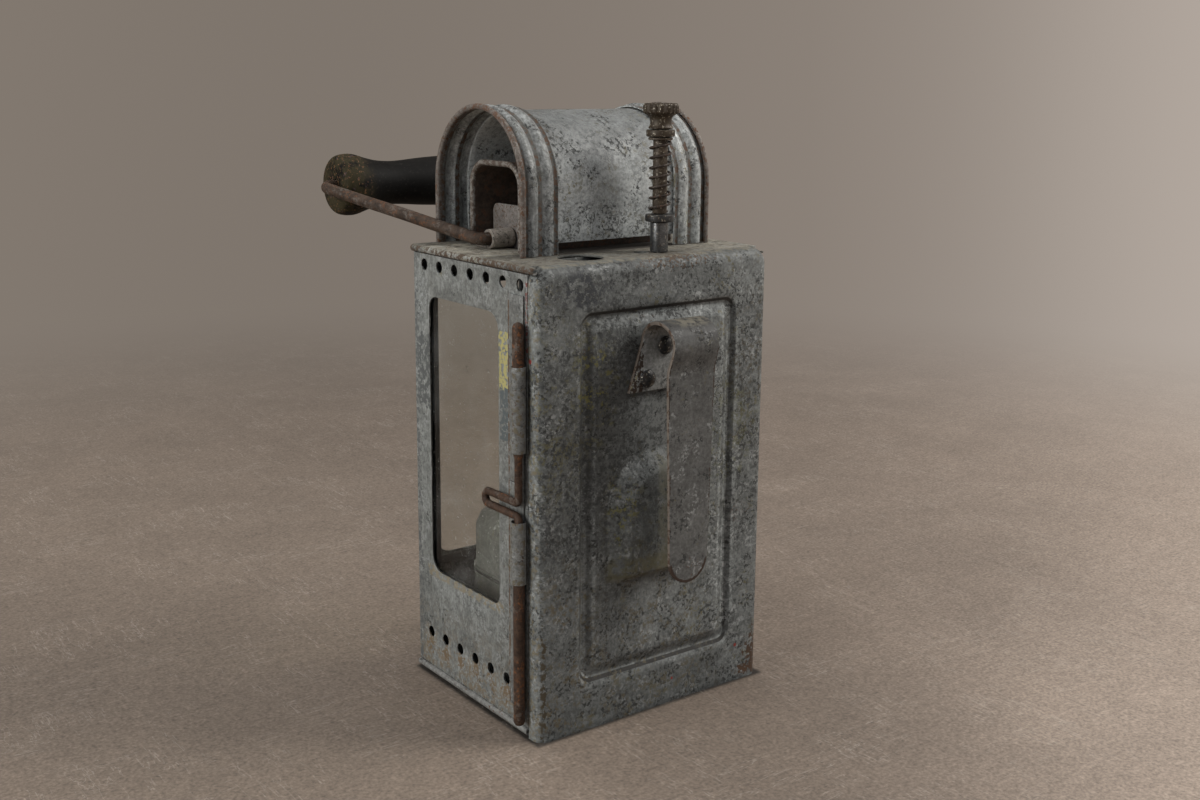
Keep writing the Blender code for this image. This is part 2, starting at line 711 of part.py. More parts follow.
def side_panel(name, side, hinged):
    """Side wall with its window and vents; the door's edge is rolled round the hinge pin."""
    profile = [(side * SIDE_X, SEAM_Y), (side * SIDE_X, WRAP_Y)]
    if hinged:
        profile = rounded(profile + [(HINGE_X, WRAP_Y)], FOLD_RADIUS)
        profile += [Vector(p) for p in arc((HINGE_X, HINGE_Y), HINGE_ROLL, -90, 290, ROLL_STEPS)[1:]]
    else:
        profile = rounded(profile + [(side * (SIDE_X - FRONT_FLANGE), WRAP_Y)], FOLD_RADIUS)
    piece = fold(name, profile, "Z", PANEL_LOW, PANEL_HIGH, "galvanised")
    near = side * (SIDE_X + OVERRUN)
    far = side * (SIDE_X - OVERRUN)
    holes = bmesh.new()
    low, high = (SIDE_WINDOW_BACK, SIDE_WINDOW_LOW), (SIDE_WINDOW_FRONT, SIDE_WINDOW_HIGH)
    prism(holes, "X", rounded_rectangle(low, high, SIDE_WINDOW_CORNERS), near, far)
    vents = vent_row(TOP_VENT_BACK_MARGIN, TOP_VENT_FRONT_MARGIN, TOP_VENTS, CASE_HEIGHT - TOP_VENT_HEAD)
    vents += vent_row(LOW_VENT_BACK_MARGIN, LOW_VENT_FRONT_MARGIN, LOW_VENTS, LOW_VENT_HEIGHT)
    for centre in vents:
        prism(holes, "X", arc(centre, VENT_RADIUS, 0, 360, ROLL_STEPS)[:-1], near, far)
    boolean(piece, cutter(name + "_holes", holes))
    if hinged:
        notches = bmesh.new()
        for height in HINGE_HEIGHTS:
            half = HINGE_KNUCKLE / 2
            outline = (
                (HINGE_X - HINGE_ROLL - SHEET - GAP, WRAP_Y - OVERRUN),
                (HINGE_X + HINGE_ROLL + OVERRUN, WRAP_Y - OVERRUN),
                (HINGE_X + HINGE_ROLL + OVERRUN, HINGE_Y + HINGE_ROLL + OVERRUN),
                (HINGE_X - HINGE_ROLL - SHEET - GAP, HINGE_Y + HINGE_ROLL + OVERRUN),
            )
            prism(notches, "Z", outline, height - half, height + half)
        boolean(piece, cutter(name + "_notches", notches))
    return piece


def front_frame():
    """Front wall with its window and turned-in sides that stop the door."""
    inner = SIDE_X - SHEET - GAP
    profile = rounded(
        ((-inner, FRONT_Y - TURN_IN), (-inner, FRONT_Y), (inner, FRONT_Y), (inner, FRONT_Y - TURN_IN)),
        FOLD_RADIUS,
    )
    piece = fold("front_frame", profile, "Z", PANEL_LOW, PANEL_HIGH, "galvanised")
    window = bmesh.new()
    low, high = (-FRONT_WINDOW_HALF, FRONT_WINDOW_LOW), (FRONT_WINDOW_HALF, FRONT_WINDOW_HIGH)
    outline = rounded_rectangle(low, high, FRONT_WINDOW_CORNER)
    prism(window, "Y", outline, FRONT_Y - OVERRUN, FRONT_Y + OVERRUN)
    boolean(piece, cutter("front_frame_window", window))


def side_point(side):
    return lambda u, depth, z: (side * (SIDE_X - depth), u, z)


def front_point(u, depth, z):
    return (u, FRONT_Y - depth, z)


def glazing(pane_name, frame_name, point, window):
    """A pane behind a window, and the shallow tray that holds it to the wall."""
    (low_u, low_z), (high_u, high_z) = window
    near = HALF_SHEET + GAP
    far = near + PANE
    margin = PANE_MARGIN
    corners = [
        (low_u - margin, low_z - margin),
        (high_u + margin, low_z - margin),
        (high_u + margin, high_z + margin),
        (low_u - margin, high_z + margin),
    ]
    bm = bmesh.new()
    ends = [row(bm, [point(u, depth, z) for u, z in corners]) for depth in (near, far)]
    strip(bm, ends[0], ends[1], closed=True)
    bm.faces.new(ends[0])
    bm.faces.new(ends[1])
    from_bmesh(pane_name, bm, "glass")

    tray = bmesh.new()
    outer = margin + GAP + HALF_SHEET
    loops = []
    for grow, depth in (
        (GAP, far + GAP + HALF_SHEET),
        (outer, far + GAP + HALF_SHEET),
        (outer, near),
    ):
        outline = (
            (low_u - grow, low_z - grow),
            (high_u + grow, low_z - grow),
            (high_u + grow, high_z + grow),
            (low_u - grow, high_z + grow),
        )
        loops.append(row(tray, [point(u, depth, z) for u, z in outline]))
    for first, second in zip(loops, loops[1:]):
        strip(tray, first, second, closed=True)
    thicken(from_bmesh(frame_name, tray, "dark_sheet"))


def all_glazing():
    side_window = ((SIDE_WINDOW_BACK, SIDE_WINDOW_LOW), (SIDE_WINDOW_FRONT, SIDE_WINDOW_HIGH))
    front_window = ((-FRONT_WINDOW_HALF, FRONT_WINDOW_LOW), (FRONT_WINDOW_HALF, FRONT_WINDOW_HIGH))
    glazing("door_glass", "door_glass_frame", side_point(-1), side_window)
    glazing("right_glass", "right_glass_frame", side_point(1), side_window)
    glazing("front_glass", "front_glass_frame", front_point, front_window)


def door_hinge():
    """Fixed knuckles on the front frame and the pin through all the knuckles."""
    leaf = [(HINGE_X + HINGE_LEAF, WRAP_Y)]
    roll = arc((HINGE_X, HINGE_Y), HINGE_ROLL, -90, -290, ROLL_STEPS)
    half = HINGE_KNUCKLE / 2 - GAP
    for name, height in zip(("lower", "upper"), HINGE_HEIGHTS):
        fold(
            "hinge_knuckle_" + name, leaf + roll, "Z", height - half, height + half, "galvanised"
        )
    path = [(HINGE_X, HINGE_Y, PANEL_LOW), (HINGE_X, HINGE_Y, PANEL_HIGH)]
    wire("hinge_pin", path, HINGE_PIN_RADIUS, "rusty_wire")


def bolt_knuckles():
    """Strips soldered to the door, each with a knuckle rolled from it to guide the drop bolt."""
    leaf_x = BOLT_X + BOLT_ROLL
    leaf = [(leaf_x, BOLT_Y + BOLT_LEAF)]
    roll = arc((BOLT_X, BOLT_Y), BOLT_ROLL, 0, -320, ROLL_STEPS)
    near = BOLT_X - BOLT_ROLL - OVERRUN
    far = leaf_x - BOLT_KNUCKLE_WALL / 2 + BOLT_STRIP_RELIEF
    right = BOLT_Y - BOLT_ROLL - OVERRUN
    left = BOLT_Y + BOLT_LEAF + OVERRUN
    strips = (
        ("lower", BOLT_STRIP_MARGIN, BOLT_STRIP_SPLIT - GAP / 2, LOW_KNUCKLE),
        ("upper", BOLT_STRIP_SPLIT + GAP / 2, CASE_HEIGHT - BOLT_STRIP_MARGIN, HIGH_KNUCKLE),
    )
    for name, low, high, knuckle in strips:
        piece = fold(
            "bolt_guide_" + name, leaf + roll, "Z", low, high, "galvanised", BOLT_KNUCKLE_WALL
        )
        cuts = bmesh.new()
        outline = ((near, right), (far, right), (far, left), (near, left))
        prism(cuts, "Z", outline, low - OVERRUN, knuckle[0])
        prism(cuts, "Z", outline, knuckle[1], high + OVERRUN)
        boolean(piece, cutter("bolt_guide_cuts_" + name, cuts))


def door_bolt(pivot):
    """Rod that drops through the guides, with a hairpin finger loop bent in its thin middle."""
    loop_high = LOOP_LOW + LOOP_SPACING
    shoulder_high = HIGH_KNUCKLE[0]
    thin = BOLT_WIRE_RADIUS / BOLT_RADIUS
    taper = BOLT_RADIUS
    bend_low = rounded(
        [
            (BOLT_X, BOLT_Y, BOLT_SHOULDER + taper),
            (BOLT_X, BOLT_Y, LOOP_LOW),
            (BOLT_X, BOLT_Y + LOOP_REACH - LOOP_SPACING / 2, LOOP_LOW),
        ],
        LOOP_BEND,
    )
    hairpin = [
        Vector((BOLT_X, y, z))
        for y, z in arc(
            (BOLT_Y + LOOP_REACH - LOOP_SPACING / 2, LOOP_LOW + LOOP_SPACING / 2),
            LOOP_SPACING / 2,
            -90,
            180,
            2 * BEND_STEPS,
        )
    ][1:]
    bend_high = rounded(
        [
            (BOLT_X, BOLT_Y + LOOP_REACH - LOOP_SPACING / 2, loop_high),
            (BOLT_X, BOLT_Y, loop_high),
            (BOLT_X, BOLT_Y, shoulder_high - taper),
        ],
        LOOP_BEND,
    )[1:]
    middle = bend_low + hairpin + bend_high
    low_end = [
        (BOLT_X, BOLT_Y, BOLT_LOW),
        (BOLT_X, BOLT_Y, BOLT_LOW + BOLT_RADIUS / 2),
        (BOLT_X, BOLT_Y, BOLT_SHOULDER),
    ]
    high_end = [
        (BOLT_X, BOLT_Y, shoulder_high),
        (BOLT_X, BOLT_Y, BOLT_HIGH - BOLT_RADIUS),
        (BOLT_X, BOLT_Y, BOLT_HIGH - BOLT_RADIUS / 2),
        (BOLT_X, BOLT_Y, BOLT_HIGH),
    ]
    end_radius_shares = [0.75, 1, 1]
    tip_radius_shares = [1, 1, 0.87, 0.35]
    radii = end_radius_shares + [thin] * len(middle) + tip_radius_shares
    rod = wire("bolt_rod", low_end + middle + high_end, BOLT_RADIUS, "rusty_wire", radii)
    parent(rod, pivot)


def arch_stations(radius, low):
    """Places and outward directions along the hood's arch, from its back foot to its front foot."""
    stations = [(HOOD_CENTRE_Y - radius, low, -1, 0)]
    for y, z in arc((0, 0), 1, 180, -180, ROUND_STEPS):
        stations.append((HOOD_CENTRE_Y + radius * y, HOOD_CENTRE_Z + radius * z, y, z))
    stations.append((HOOD_CENTRE_Y + radius, low, 1, 0))
    return stations


def duct_stations():
    half = DUCT_WIDTH / 2 - HALF_SHEET
    top = DUCT_TOP - HALF_SHEET
    corner = DUCT_CORNER
    stations = [(HOOD_CENTRE_Y - half, DECK, -1, 0)]
    for centre_y, start in ((HOOD_CENTRE_Y - half + corner, 180), (HOOD_CENTRE_Y + half - corner, 90)):
        for y, z in arc((0, 0), 1, start, -90, CORNER_STEPS):
            stations.append((centre_y + corner * y, top - corner + corner * z, y, z))
    stations.append((HOOD_CENTRE_Y + half, DECK, 1, 0))
    return stations


def swept(name, stations, section, look):
    """A sheet whose section of (x, outward offset) points follows an arch."""
    bm = bmesh.new()
    before = None
    for y, z, out_y, out_z in stations:
        here = row(bm, [(x, y + out_y * offset, z + out_z * offset) for x, offset in section])
        if before:
            strip(bm, before, here)
        before = here
    piece = from_bmesh(name, bm, look)
    thicken(piece)
    return piece


def rim_curl(end_x, side, offset=0):
    """Rolled rim of a tunnel's mouth, from its free end to the sheet, on the side given."""
    points = arc((RIM_RADIUS + HALF_SHEET, RIM_RADIUS), RIM_RADIUS, 10, 260, ROLL_STEPS - 4)
    return [(side * (end_x - x), offset + out) for x, out in points]


def hood():
    """Tunnel hood: a middle sheet tucked under two beaded end collars."""
    half = HOOD_LENGTH / 2
    collar_radius = HOOD_RADIUS - HALF_SHEET
    middle_radius = collar_radius - SHEET - GAP
    lap = half - COLLAR_LENGTH + COLLAR_LAP
    swept(
        "hood_middle",
        arch_stations(middle_radius, CASE_HEIGHT + HOOD_SLOT),
        [(-lap, 0), (lap, 0)],
        "galvanised",
    )
    section_shares = (
        (0.20, 0),
        (0.25, 0.9),
        (0.33, 1),
        (0.41, 0.9),
        (0.46, 0),
        (0.60, 0),
        (0.66, 0.9),
        (0.74, 1),
        (0.82, 0.9),
        (0.88, 0),
        (1, 0.25),
    )
    for side, name in ((-1, "left"), (1, "right")):
        section = rim_curl(half, side)
        section += [
            (side * (half - COLLAR_LENGTH * share), COLLAR_BEAD * rise)
            for share, rise in section_shares
        ]
        swept("hood_collar_" + name, arch_stations(collar_radius, DECK), section, "galvanised")


def inner_duct():
    """Square inner duct over the chimney hole, with rolled mouths, and its two low wind baffles."""
    half = DUCT_LENGTH / 2
    section = rim_curl(half, -1) + list(reversed(rim_curl(half, 1)))
    swept("inner_duct", duct_stations(), section, "dark_sheet")
    width = BAFFLE_WIDTH / 2
    outline = [(HOOD_CENTRE_Y - width, DECK), (HOOD_CENTRE_Y + width, DECK)]
    top = DECK + BAFFLE_HEIGHT - BAFFLE_CORNER
    outline += arc((HOOD_CENTRE_Y + width - BAFFLE_CORNER, top), BAFFLE_CORNER, 0, 90, CORNER_STEPS)
    outline += arc((HOOD_CENTRE_Y - width + BAFFLE_CORNER, top), BAFFLE_CORNER, 90, 90, CORNER_STEPS)
    near = CHIMNEY_LENGTH / 2 + SHEET
    for side, name in ((-1, "left"), (1, "right")):
        plate("wind_baffle_" + name, "X", outline, side * near, side * (near + SHEET), "galvanised")


def bail_brackets():
    """Straps rolled round the bail's pivots on the deck."""
    leaf = [(HOOD_CENTRE_Y + BRACKET_LEAF, PIVOT_Z - BRACKET_ROLL)]
    roll = arc((HOOD_CENTRE_Y, PIVOT_Z), BRACKET_ROLL, -90, -320, ROLL_STEPS)
    inner = BRACKET_OUTER - BRACKET_LENGTH
    for side, name in ((-1, "left"), (1, "right")):
        fold(
            "bail_bracket_" + name,
            leaf + roll,
            "X",
            side * inner,
            side * BRACKET_OUTER,
            "galvanised",
            STRAP,
        )


def bail_matrix():
    return Matrix.Translation((0, HOOD_CENTRE_Y, PIVOT_Z)) @ Matrix.Rotation(
        math.radians(BAIL_REST_DEG), 4, "X"
    )


def bail(pivot):
    """Wire bail from bracket to bracket, through the bore of the turned grip."""
    start = BRACKET_OUTER - BRACKET_LENGTH + GAP
    left = rounded(
        [(-start, 0, 0), (-BAIL_ELBOW_X, 0, 0), (-BAIL_CORNER_X, BAIL_REACH, 0)], BAIL_ELBOW
    )
    corner = rounded(
        [(-BAIL_ELBOW_X, 0, 0), (-BAIL_CORNER_X, BAIL_REACH, 0), (0, BAIL_REACH, 0)], BAIL_CORNER
    )
    half = left[:-1] + corner[1:-1]
    path = half + [Vector((-p.x, p.y, p.z)) for p in reversed(half)]
    rod = wire("bail_wire", path, WIRE_RADIUS, "rusty_wire")
    rod.matrix_world = bail_matrix()
    parent(rod, pivot)

    bore = WIRE_RADIUS + GAP
    length = GRIP_LENGTH / 2
    swell = GRIP_END_RADIUS - GRIP_WAIST_RADIUS
    profile_shares = (
        (1, -0.63),
        (0.985, 0.62),
        (0.95, 0.88),
        (0.89, 1),
        (0.83, 0.93),
        (0.74, 0.52),
        (0.64, 0.16),
        (0.52, 0),
        (0.40, 0.06),
        (0.22, 0.28),
        (0, 0.41),
    )
    half_profile = [
        (GRIP_WAIST_RADIUS + swell * rise, -length * share) for share, rise in profile_shares
    ]
    half_profile[-1] = (GRIP_BELLY_RADIUS, 0)
    profile = half_profile + [(radius, -z) for radius, z in reversed(half_profile[:-1])]
    profile += [(bore, length), (bore, -length)]
    grip = turned("bail_grip", profile, "black_wood", (0, 0, 0), steps=ROUND_STEPS)
    grip.matrix_world = (
        bail_matrix()
        @ Matrix.Translation((0, BAIL_REACH, 0))
        @ Matrix.Rotation(math.radians(90), 4, "Y")
    )
    parent(grip, pivot)


def tube_profile(inner, outer, low, high, chamfer=0):
    return [
        (inner, low),
        (outer - chamfer, low),
        (outer, low + chamfer),
        (outer, high - chamfer),
        (outer - chamfer, high),
        (inner, high),
    ] if chamfer else [(inner, low), (outer, low), (outer, high), (inner, high)]


def valve_body():
    """Fixed tube, cap and slotted stem of the drip valve, on the deck."""
    here = (VALVE_X, VALVE_Y, 0)
    turned(
        "valve_tube",
        tube_profile(NEEDLE_BORE, VALVE_TUBE_RADIUS, DECK, DECK + VALVE_TUBE_HEIGHT),
        "bright_steel",
        here,
    )
    turned(
        "valve_cap",
        tube_profile(NEEDLE_BORE, VALVE_CAP_RADIUS, CAP_Z, SPRING_LOW, VALVE_CAP_HEIGHT / 6),
        "brown_knob",
        here,
    )
    stem = turned(
        "valve_stem",
        tube_profile(NEEDLE_BORE, STEM_RADIUS, SPRING_LOW + GAP, STEM_TOP),
        "brown_knob",
        here,
    )
    slot = bmesh.new()
    half = SLOT_WIDTH / 2
    outline = (
        (VALVE_X - half, VALVE_Y - STEM_RADIUS - OVERRUN),
        (VALVE_X + half, VALVE_Y - STEM_RADIUS - OVERRUN),
        (VALVE_X + half, VALVE_Y),
        (VALVE_X - half, VALVE_Y),
    )
    slot_low = SPRING_LOW + STEM_RADIUS
    prism(slot, "Z", outline, slot_low, SPRING_LOW + STEM_HEIGHT / 2)
    boolean(stem, cutter("stem_slot", slot))


def valve_spring(pivot):
    """Compression spring as one unbroken tube, with its ends run straight for one wire diameter."""
    low = SPRING_LOW + GAP + SPRING_WIRE_RADIUS
    high = WASHER_Z - GAP - SPRING_WIRE_RADIUS
    steps = SPRING_TURNS * SPRING_POINTS
    path = []
    for i in range(steps + 1):
        angle = 2 * math.pi * i / SPRING_POINTS
        path.append(
            Vector(
                (
                    VALVE_X + SPRING_RADIUS * math.cos(angle),
                    VALVE_Y + SPRING_RADIUS * math.sin(angle),
                    low + (high - low) * i / steps,
                )
            )
        )
    straight = 2 * SPRING_WIRE_RADIUS
    path[0] = path[1] + (path[0] - path[1]).normalized() * ((path[0] - path[1]).length + straight)
    path[-1] = path[-2] + (path[-1] - path[-2]).normalized() * (
        (path[-1] - path[-2]).length + straight
    )
    path[0].z = low
    path[-1].z = high
    least = min(
        (a - b).length
        for i, a in enumerate(path)
        for b in path[i + SPRING_POINTS // 2 :]
    )
    print(f"valve_spring least gap to itself {(least - 2 * SPRING_WIRE_RADIUS) / MILLIMETRE:.2f} mm")
    spring = wire("valve_spring", path, SPRING_WIRE_RADIUS, "rusty_wire", resolution=1)
    parent(spring, pivot)
    washer = turned(
        "spring_washer",
        tube_profile(STEM_RADIUS + GAP, WASHER_RADIUS, WASHER_Z, WASHER_Z + WASHER_HEIGHT),
        "bright_steel",
        (VALVE_X, VALVE_Y, 0),
    )
    parent(washer, pivot)


def valve_spindle(pivot):
    """Needle with its collar and fluted knob."""
    here = (VALVE_X, VALVE_Y, 0)
    seat_top = SEAT_Z + SEAT_HEIGHT
    needle_top = KNOB_Z + KNOB_HEIGHT - KNOB_HEAD
    tip = NEEDLE_RADIUS / 3
    needle = turned(
        "valve_needle",
        [
            (0, seat_top - SEAT_HEIGHT / 3),
            (tip, seat_top - SEAT_HEIGHT / 3),
            (NEEDLE_RADIUS, seat_top + SEAT_HEIGHT / 3),
            (NEEDLE_RADIUS, needle_top),
            (0, needle_top),
        ],
        "bright_steel",
        here,
        steps=ROLL_STEPS,
    )
    disc_high = KNOB_COLLAR_Z + COLLAR_DISC_HEIGHT
    disc = turned(
        "knob_collar",
        tube_profile(
            NEEDLE_BORE, COLLAR_DISC_RADIUS, KNOB_COLLAR_Z, disc_high, COLLAR_DISC_HEIGHT / 6
        ),
        "brown_knob",
        here,
    )
    top = KNOB_Z + KNOB_HEIGHT
    knob_shares = (
        (0.66, 0),
        (0.70, 0.06),
        (0.60, 0.20),
        (0.60, 0.34),
        (0.76, 0.52),
        (0.96, 0.60),
        (1, 0.64),
        (1, 0.93),
        (0.92, 0.985),
        (0.40, 1),
    )
    profile = [(KNOB_RADIUS * r, KNOB_Z + KNOB_HEIGHT * h) for r, h in knob_shares]
    profile += [(0, top), (0, needle_top + GAP), (NEEDLE_BORE, needle_top + GAP), (NEEDLE_BORE, KNOB_Z)]
    knob = turned("valve_knob", profile, "brown_knob", here, steps=FLUTES * 2)
    flutes = bmesh.new()
    for i in range(FLUTES):
        angle = 2 * math.pi * (i + 0.5) / FLUTES
        reach = KNOB_RADIUS + FLUTE_RADIUS / 3
        centre = (VALVE_X + reach * math.cos(angle), VALVE_Y + reach * math.sin(angle))
        outline = arc(centre, FLUTE_RADIUS, math.degrees(angle), 360, FLUTE_STEPS)[:-1]
        prism(flutes, "Z", outline, top - KNOB_HEAD - 3 * FLUTE_RADIUS, top + OVERRUN)
    boolean(knob, cutter("knob_flutes", flutes))
    for piece in (needle, disc, knob):
        parent(piece, pivot)


def belt_hook():
    """Sprung strip hook, riveted by its wide foot, with a bulging loop and a long rounded tongue."""
    thick = HOOK_STRIP / 2
    wall_y = HOOK_WALL_Y - thick
    front_y = BACK_FACE - HOOK_STANDOFF
    reach = (wall_y - front_y + HOOK_BULGE) / 2
    loop_z = HOOK_TOP - thick - HOOK_LOOP_RISE
    path = [(wall_y, HOOK_TOP - HOOK_FOOT_LENGTH, HOOK_FOOT_WIDTH)]
    path.append((wall_y, loop_z, HOOK_SHOULDER_WIDTH))
    for y, z in arc((0, 0), 1, 0, 180, 2 * BEND_STEPS)[1:]:
        path.append((wall_y - reach + reach * y, loop_z + HOOK_LOOP_RISE * z, HOOK_SHOULDER_WIDTH))
    for step in range(1, BEND_STEPS + 1):
        share = step / BEND_STEPS
        bulge = HOOK_BULGE * (1 + math.cos(math.pi * share)) / 2
        path.append((front_y - bulge, loop_z - HOOK_NECK * share, HOOK_SHOULDER_WIDTH))
    tip_half = HOOK_TIP_WIDTH / 2
    tip_start = HOOK_TIP + tip_half
    path.append((front_y, tip_start, HOOK_TIP_WIDTH))
    for step in range(1, CORNER_STEPS + 1):
        angle = math.radians(90) * step / CORNER_STEPS
        width = HOOK_TIP_WIDTH * math.cos(angle)
        path.append((front_y, tip_start - tip_half * math.sin(angle), width))
    bm = bmesh.new()
    before = None
    for y, z, width in path:
        here = row(bm, [(HOOK_X - width / 2, y, z), (HOOK_X + width / 2, y, z)])
        if before:
            strip(bm, before, here)
        before = here
    piece = from_bmesh("belt_hook", bm, "galvanised")
    thicken(piece, HOOK_STRIP)
    holes = bmesh.new()
    rivets = (
        ("top", HOOK_X, HOOK_TOP - RIVET_HIGH_DROP),
        ("left", HOOK_X - RIVET_SPREAD, HOOK_TOP - RIVET_LOW_DROP),
        ("right", HOOK_X + RIVET_SPREAD, HOOK_TOP - RIVET_LOW_DROP),
    )
    face_y = wall_y - thick - GAP
    for name, x, z in rivets:
        outline = arc((x, z), RIVET_SHANK + GAP, 0, 360, ROLL_STEPS)[:-1]
        prism(holes, "Y", outline, face_y - SHEET, HOOK_WALL_Y + SHEET)
        profile = [(0, 0), (RIVET_SHANK, 0), (RIVET_SHANK, HOOK_STRIP + GAP), (RIVET_RADIUS, HOOK_STRIP + GAP)]
        for share in (1 / 3, 2 / 3):
            angle = math.radians(90) * share
            rise = HOOK_STRIP + GAP + RIVET_RISE * math.sin(angle)
            profile.append((RIVET_RADIUS * math.cos(angle), rise))
        profile.append((0, HOOK_STRIP + GAP + RIVET_RISE))
        tilt = (math.radians(90), 0, 0)
        turned("hook_rivet_" + name, profile, "galvanised", (x, HOOK_WALL_Y, z), tilt, ROLL_STEPS)
    boolean(piece, cutter("hook_holes", holes))


def tray_outline(grow, z):
    corner = POT_CORNER + grow
    outline = rounded_rectangle(
        (-POT_HALF_WIDTH - grow, POT_BACK - grow), (POT_HALF_WIDTH + grow, POT_FRONT + grow), corner
    )
    return [(x, y, z) for x, y in outline]


def cup(name, loops, look):
    """A pressed cup: outlines in order from its closed end to its open end."""
    bm = bmesh.new()
    rows = [row(bm, loop) for loop in loops]
    bm.faces.new(rows[0])
    for first, second in zip(rows, rows[1:]):
        strip(bm, first, second, closed=True)
    piece = from_bmesh(name, bm, look)
    thicken(piece)
    return piece


def carbide_pot():
    """Pot for the carbide, with its seal and its gas-tight lid."""
    low = POT_BOTTOM + HALF_SHEET
    high = POT_BOTTOM + POT_HEIGHT - HALF_SHEET
    edge = POT_CORNER / 3
    bulge_shares = ((0.55, 0), (0.70, 1), (0.88, 1))
    levels = [(low, -edge), (low + edge / 3, -edge / 3), (low + edge, 0)]
    levels += [(low + POT_HEIGHT * height, POT_BULGE * rise) for height, rise in bulge_shares]
    levels += [(high, 0), (high, SEAL_WIDTH / 2)]
    cup("carbide_pot", [tray_outline(grow - HALF_SHEET, z) for z, grow in levels], "galvanised")

    seal_low = POT_BOTTOM + POT_HEIGHT + GAP
    bm = bmesh.new()
    half = SEAL_WIDTH / 2
    rings = [
        row(bm, tray_outline(grow - HALF_SHEET, z))
        for grow, z in (
            (-half, seal_low),
            (half, seal_low),
            (half, seal_low + SEAL),
            (-half, seal_low + SEAL),
        )
    ]
    for i, ring in enumerate(rings):
        strip(bm, ring, rings[(i + 1) % len(rings)], closed=True)
    from_bmesh("lid_seal", bm, "rubber")

    foot = LID_LOW + HALF_SHEET
    top = LID_TOP - HALF_SHEET
    shoulder = POT_CORNER / 2
    lid_levels = (
        (top, -shoulder),
        (top - shoulder / 4, -shoulder / 3),
        (top - shoulder, 0),
        (foot, 0),
        (foot, SEAL_WIDTH / 2),
    )
    lid = cup("pot_lid", [tray_outline(grow - HALF_SHEET, z) for z, grow in lid_levels], "galvanised")
    holes = bmesh.new()
    for centre, radius in (((0, BURNER_Y), BURNER_NECK_RADIUS), ((VALVE_X, DRIP_Y), DRIP_RADIUS + GAP)):
        prism(
            holes, "Z", arc(centre, radius, 0, 360, ROLL_STEPS)[:-1], top - OVERRUN, top + OVERRUN
        )
    boolean(lid, cutter("lid_holes", holes))


def water_tank():
    """Open tank hung under the deck behind the flame, with its valve seat and drip tube."""
    half = TANK_HALF_WIDTH - HALF_SHEET
    outline = rounded_rectangle((-half, TANK_BACK + HALF_SHEET), (half, TANK_FRONT - HALF_SHEET), TANK_CORNER)
    levels = (TANK_BOTTOM + HALF_SHEET, PLATE_UNDERSIDE - GAP)
    tank = cup("water_tank", [[(x, y, z) for x, y in outline] for z in levels], "galvanised")
    spigot = DRIP_RADIUS + GAP
    hole = bmesh.new()
    here = (VALVE_X, VALVE_Y)
    prism(hole, "Z", arc(here, spigot + GAP, 0, 360)[:-1], TANK_BOTTOM - OVERRUN, SEAT_Z)
    boolean(tank, cutter("tank_hole", hole))

    throat = NEEDLE_RADIUS / 3 + GAP
    cup_depth = SEAT_HEIGHT / 3
    profile = [
        (throat, -SHEET - 2 * GAP),
        (spigot, -SHEET - 2 * GAP),
        (spigot, 0),
        (SEAT_RADIUS, 0),
        (SEAT_RADIUS, SEAT_HEIGHT / 2),
        (NEEDLE_RADIUS + GAP + SHEET, SEAT_HEIGHT),
        (NEEDLE_RADIUS + GAP, SEAT_HEIGHT),
        (throat, SEAT_HEIGHT - cup_depth - GAP),
    ]
    turned("valve_seat", profile, "brass", (VALVE_X, VALVE_Y, SEAT_Z), steps=ROLL_STEPS)

    start = SEAT_Z - SHEET - 3 * GAP
    level = start - DRIP_FALL
    corners = [
        (VALVE_X, VALVE_Y, start),
        (VALVE_X, VALVE_Y, level),
        (VALVE_X, DRIP_Y, level),
        (VALVE_X, DRIP_Y, LID_TOP - SHEET),
    ]
    path = rounded_corners(corners, DRIP_BEND)
    tube = as_mesh(wire("drip_tube", path, DRIP_RADIUS, "brass", resolution=1))
    longer = [path[0] + Vector((0, 0, OVERRUN))] + path[1:-1] + [path[-1] - Vector((0, 0, OVERRUN))]
    bore = as_mesh(wire("drip_bore", longer, DRIP_BORE, "brass", resolution=1))
    for group in list(bore.users_collection):
        group.objects.unlink(bore)
    bpy.data.collections[CUTTERS].objects.link(bore)
    bore.hide_render = True
    bore.display_type = "WIRE"
    boolean(tube, bore)


def rounded_corners(corners, radius):
    """rounded for a path of several corners, joined corner by corner."""
    path = [Vector(corners[0])]
    for i in range(1, len(corners) - 1):
        path += rounded([corners[i - 1], corners[i], corners[i + 1]], radius)[1:-1]
    path.append(Vector(corners[-1]))
    return path


def reflector():
    """Pressed dish on the tank's front wall, behind the flame."""
    edge = math.radians(90)
    profile = []
    for step in range(CORNER_STEPS + 1):
        share = step / CORNER_STEPS
        rise = REFLECTOR_DEPTH * (1 - math.cos(edge * share) ** 2)
        profile.append((REFLECTOR_RADIUS * share, rise))
    turned(
        "reflector",
        profile,
        "bright_steel",
        (0, TANK_FRONT + GAP + HALF_SHEET, REFLECTOR_HEIGHT),
        (math.radians(-90), 0, 0),
        sheet=SHEET,
    )


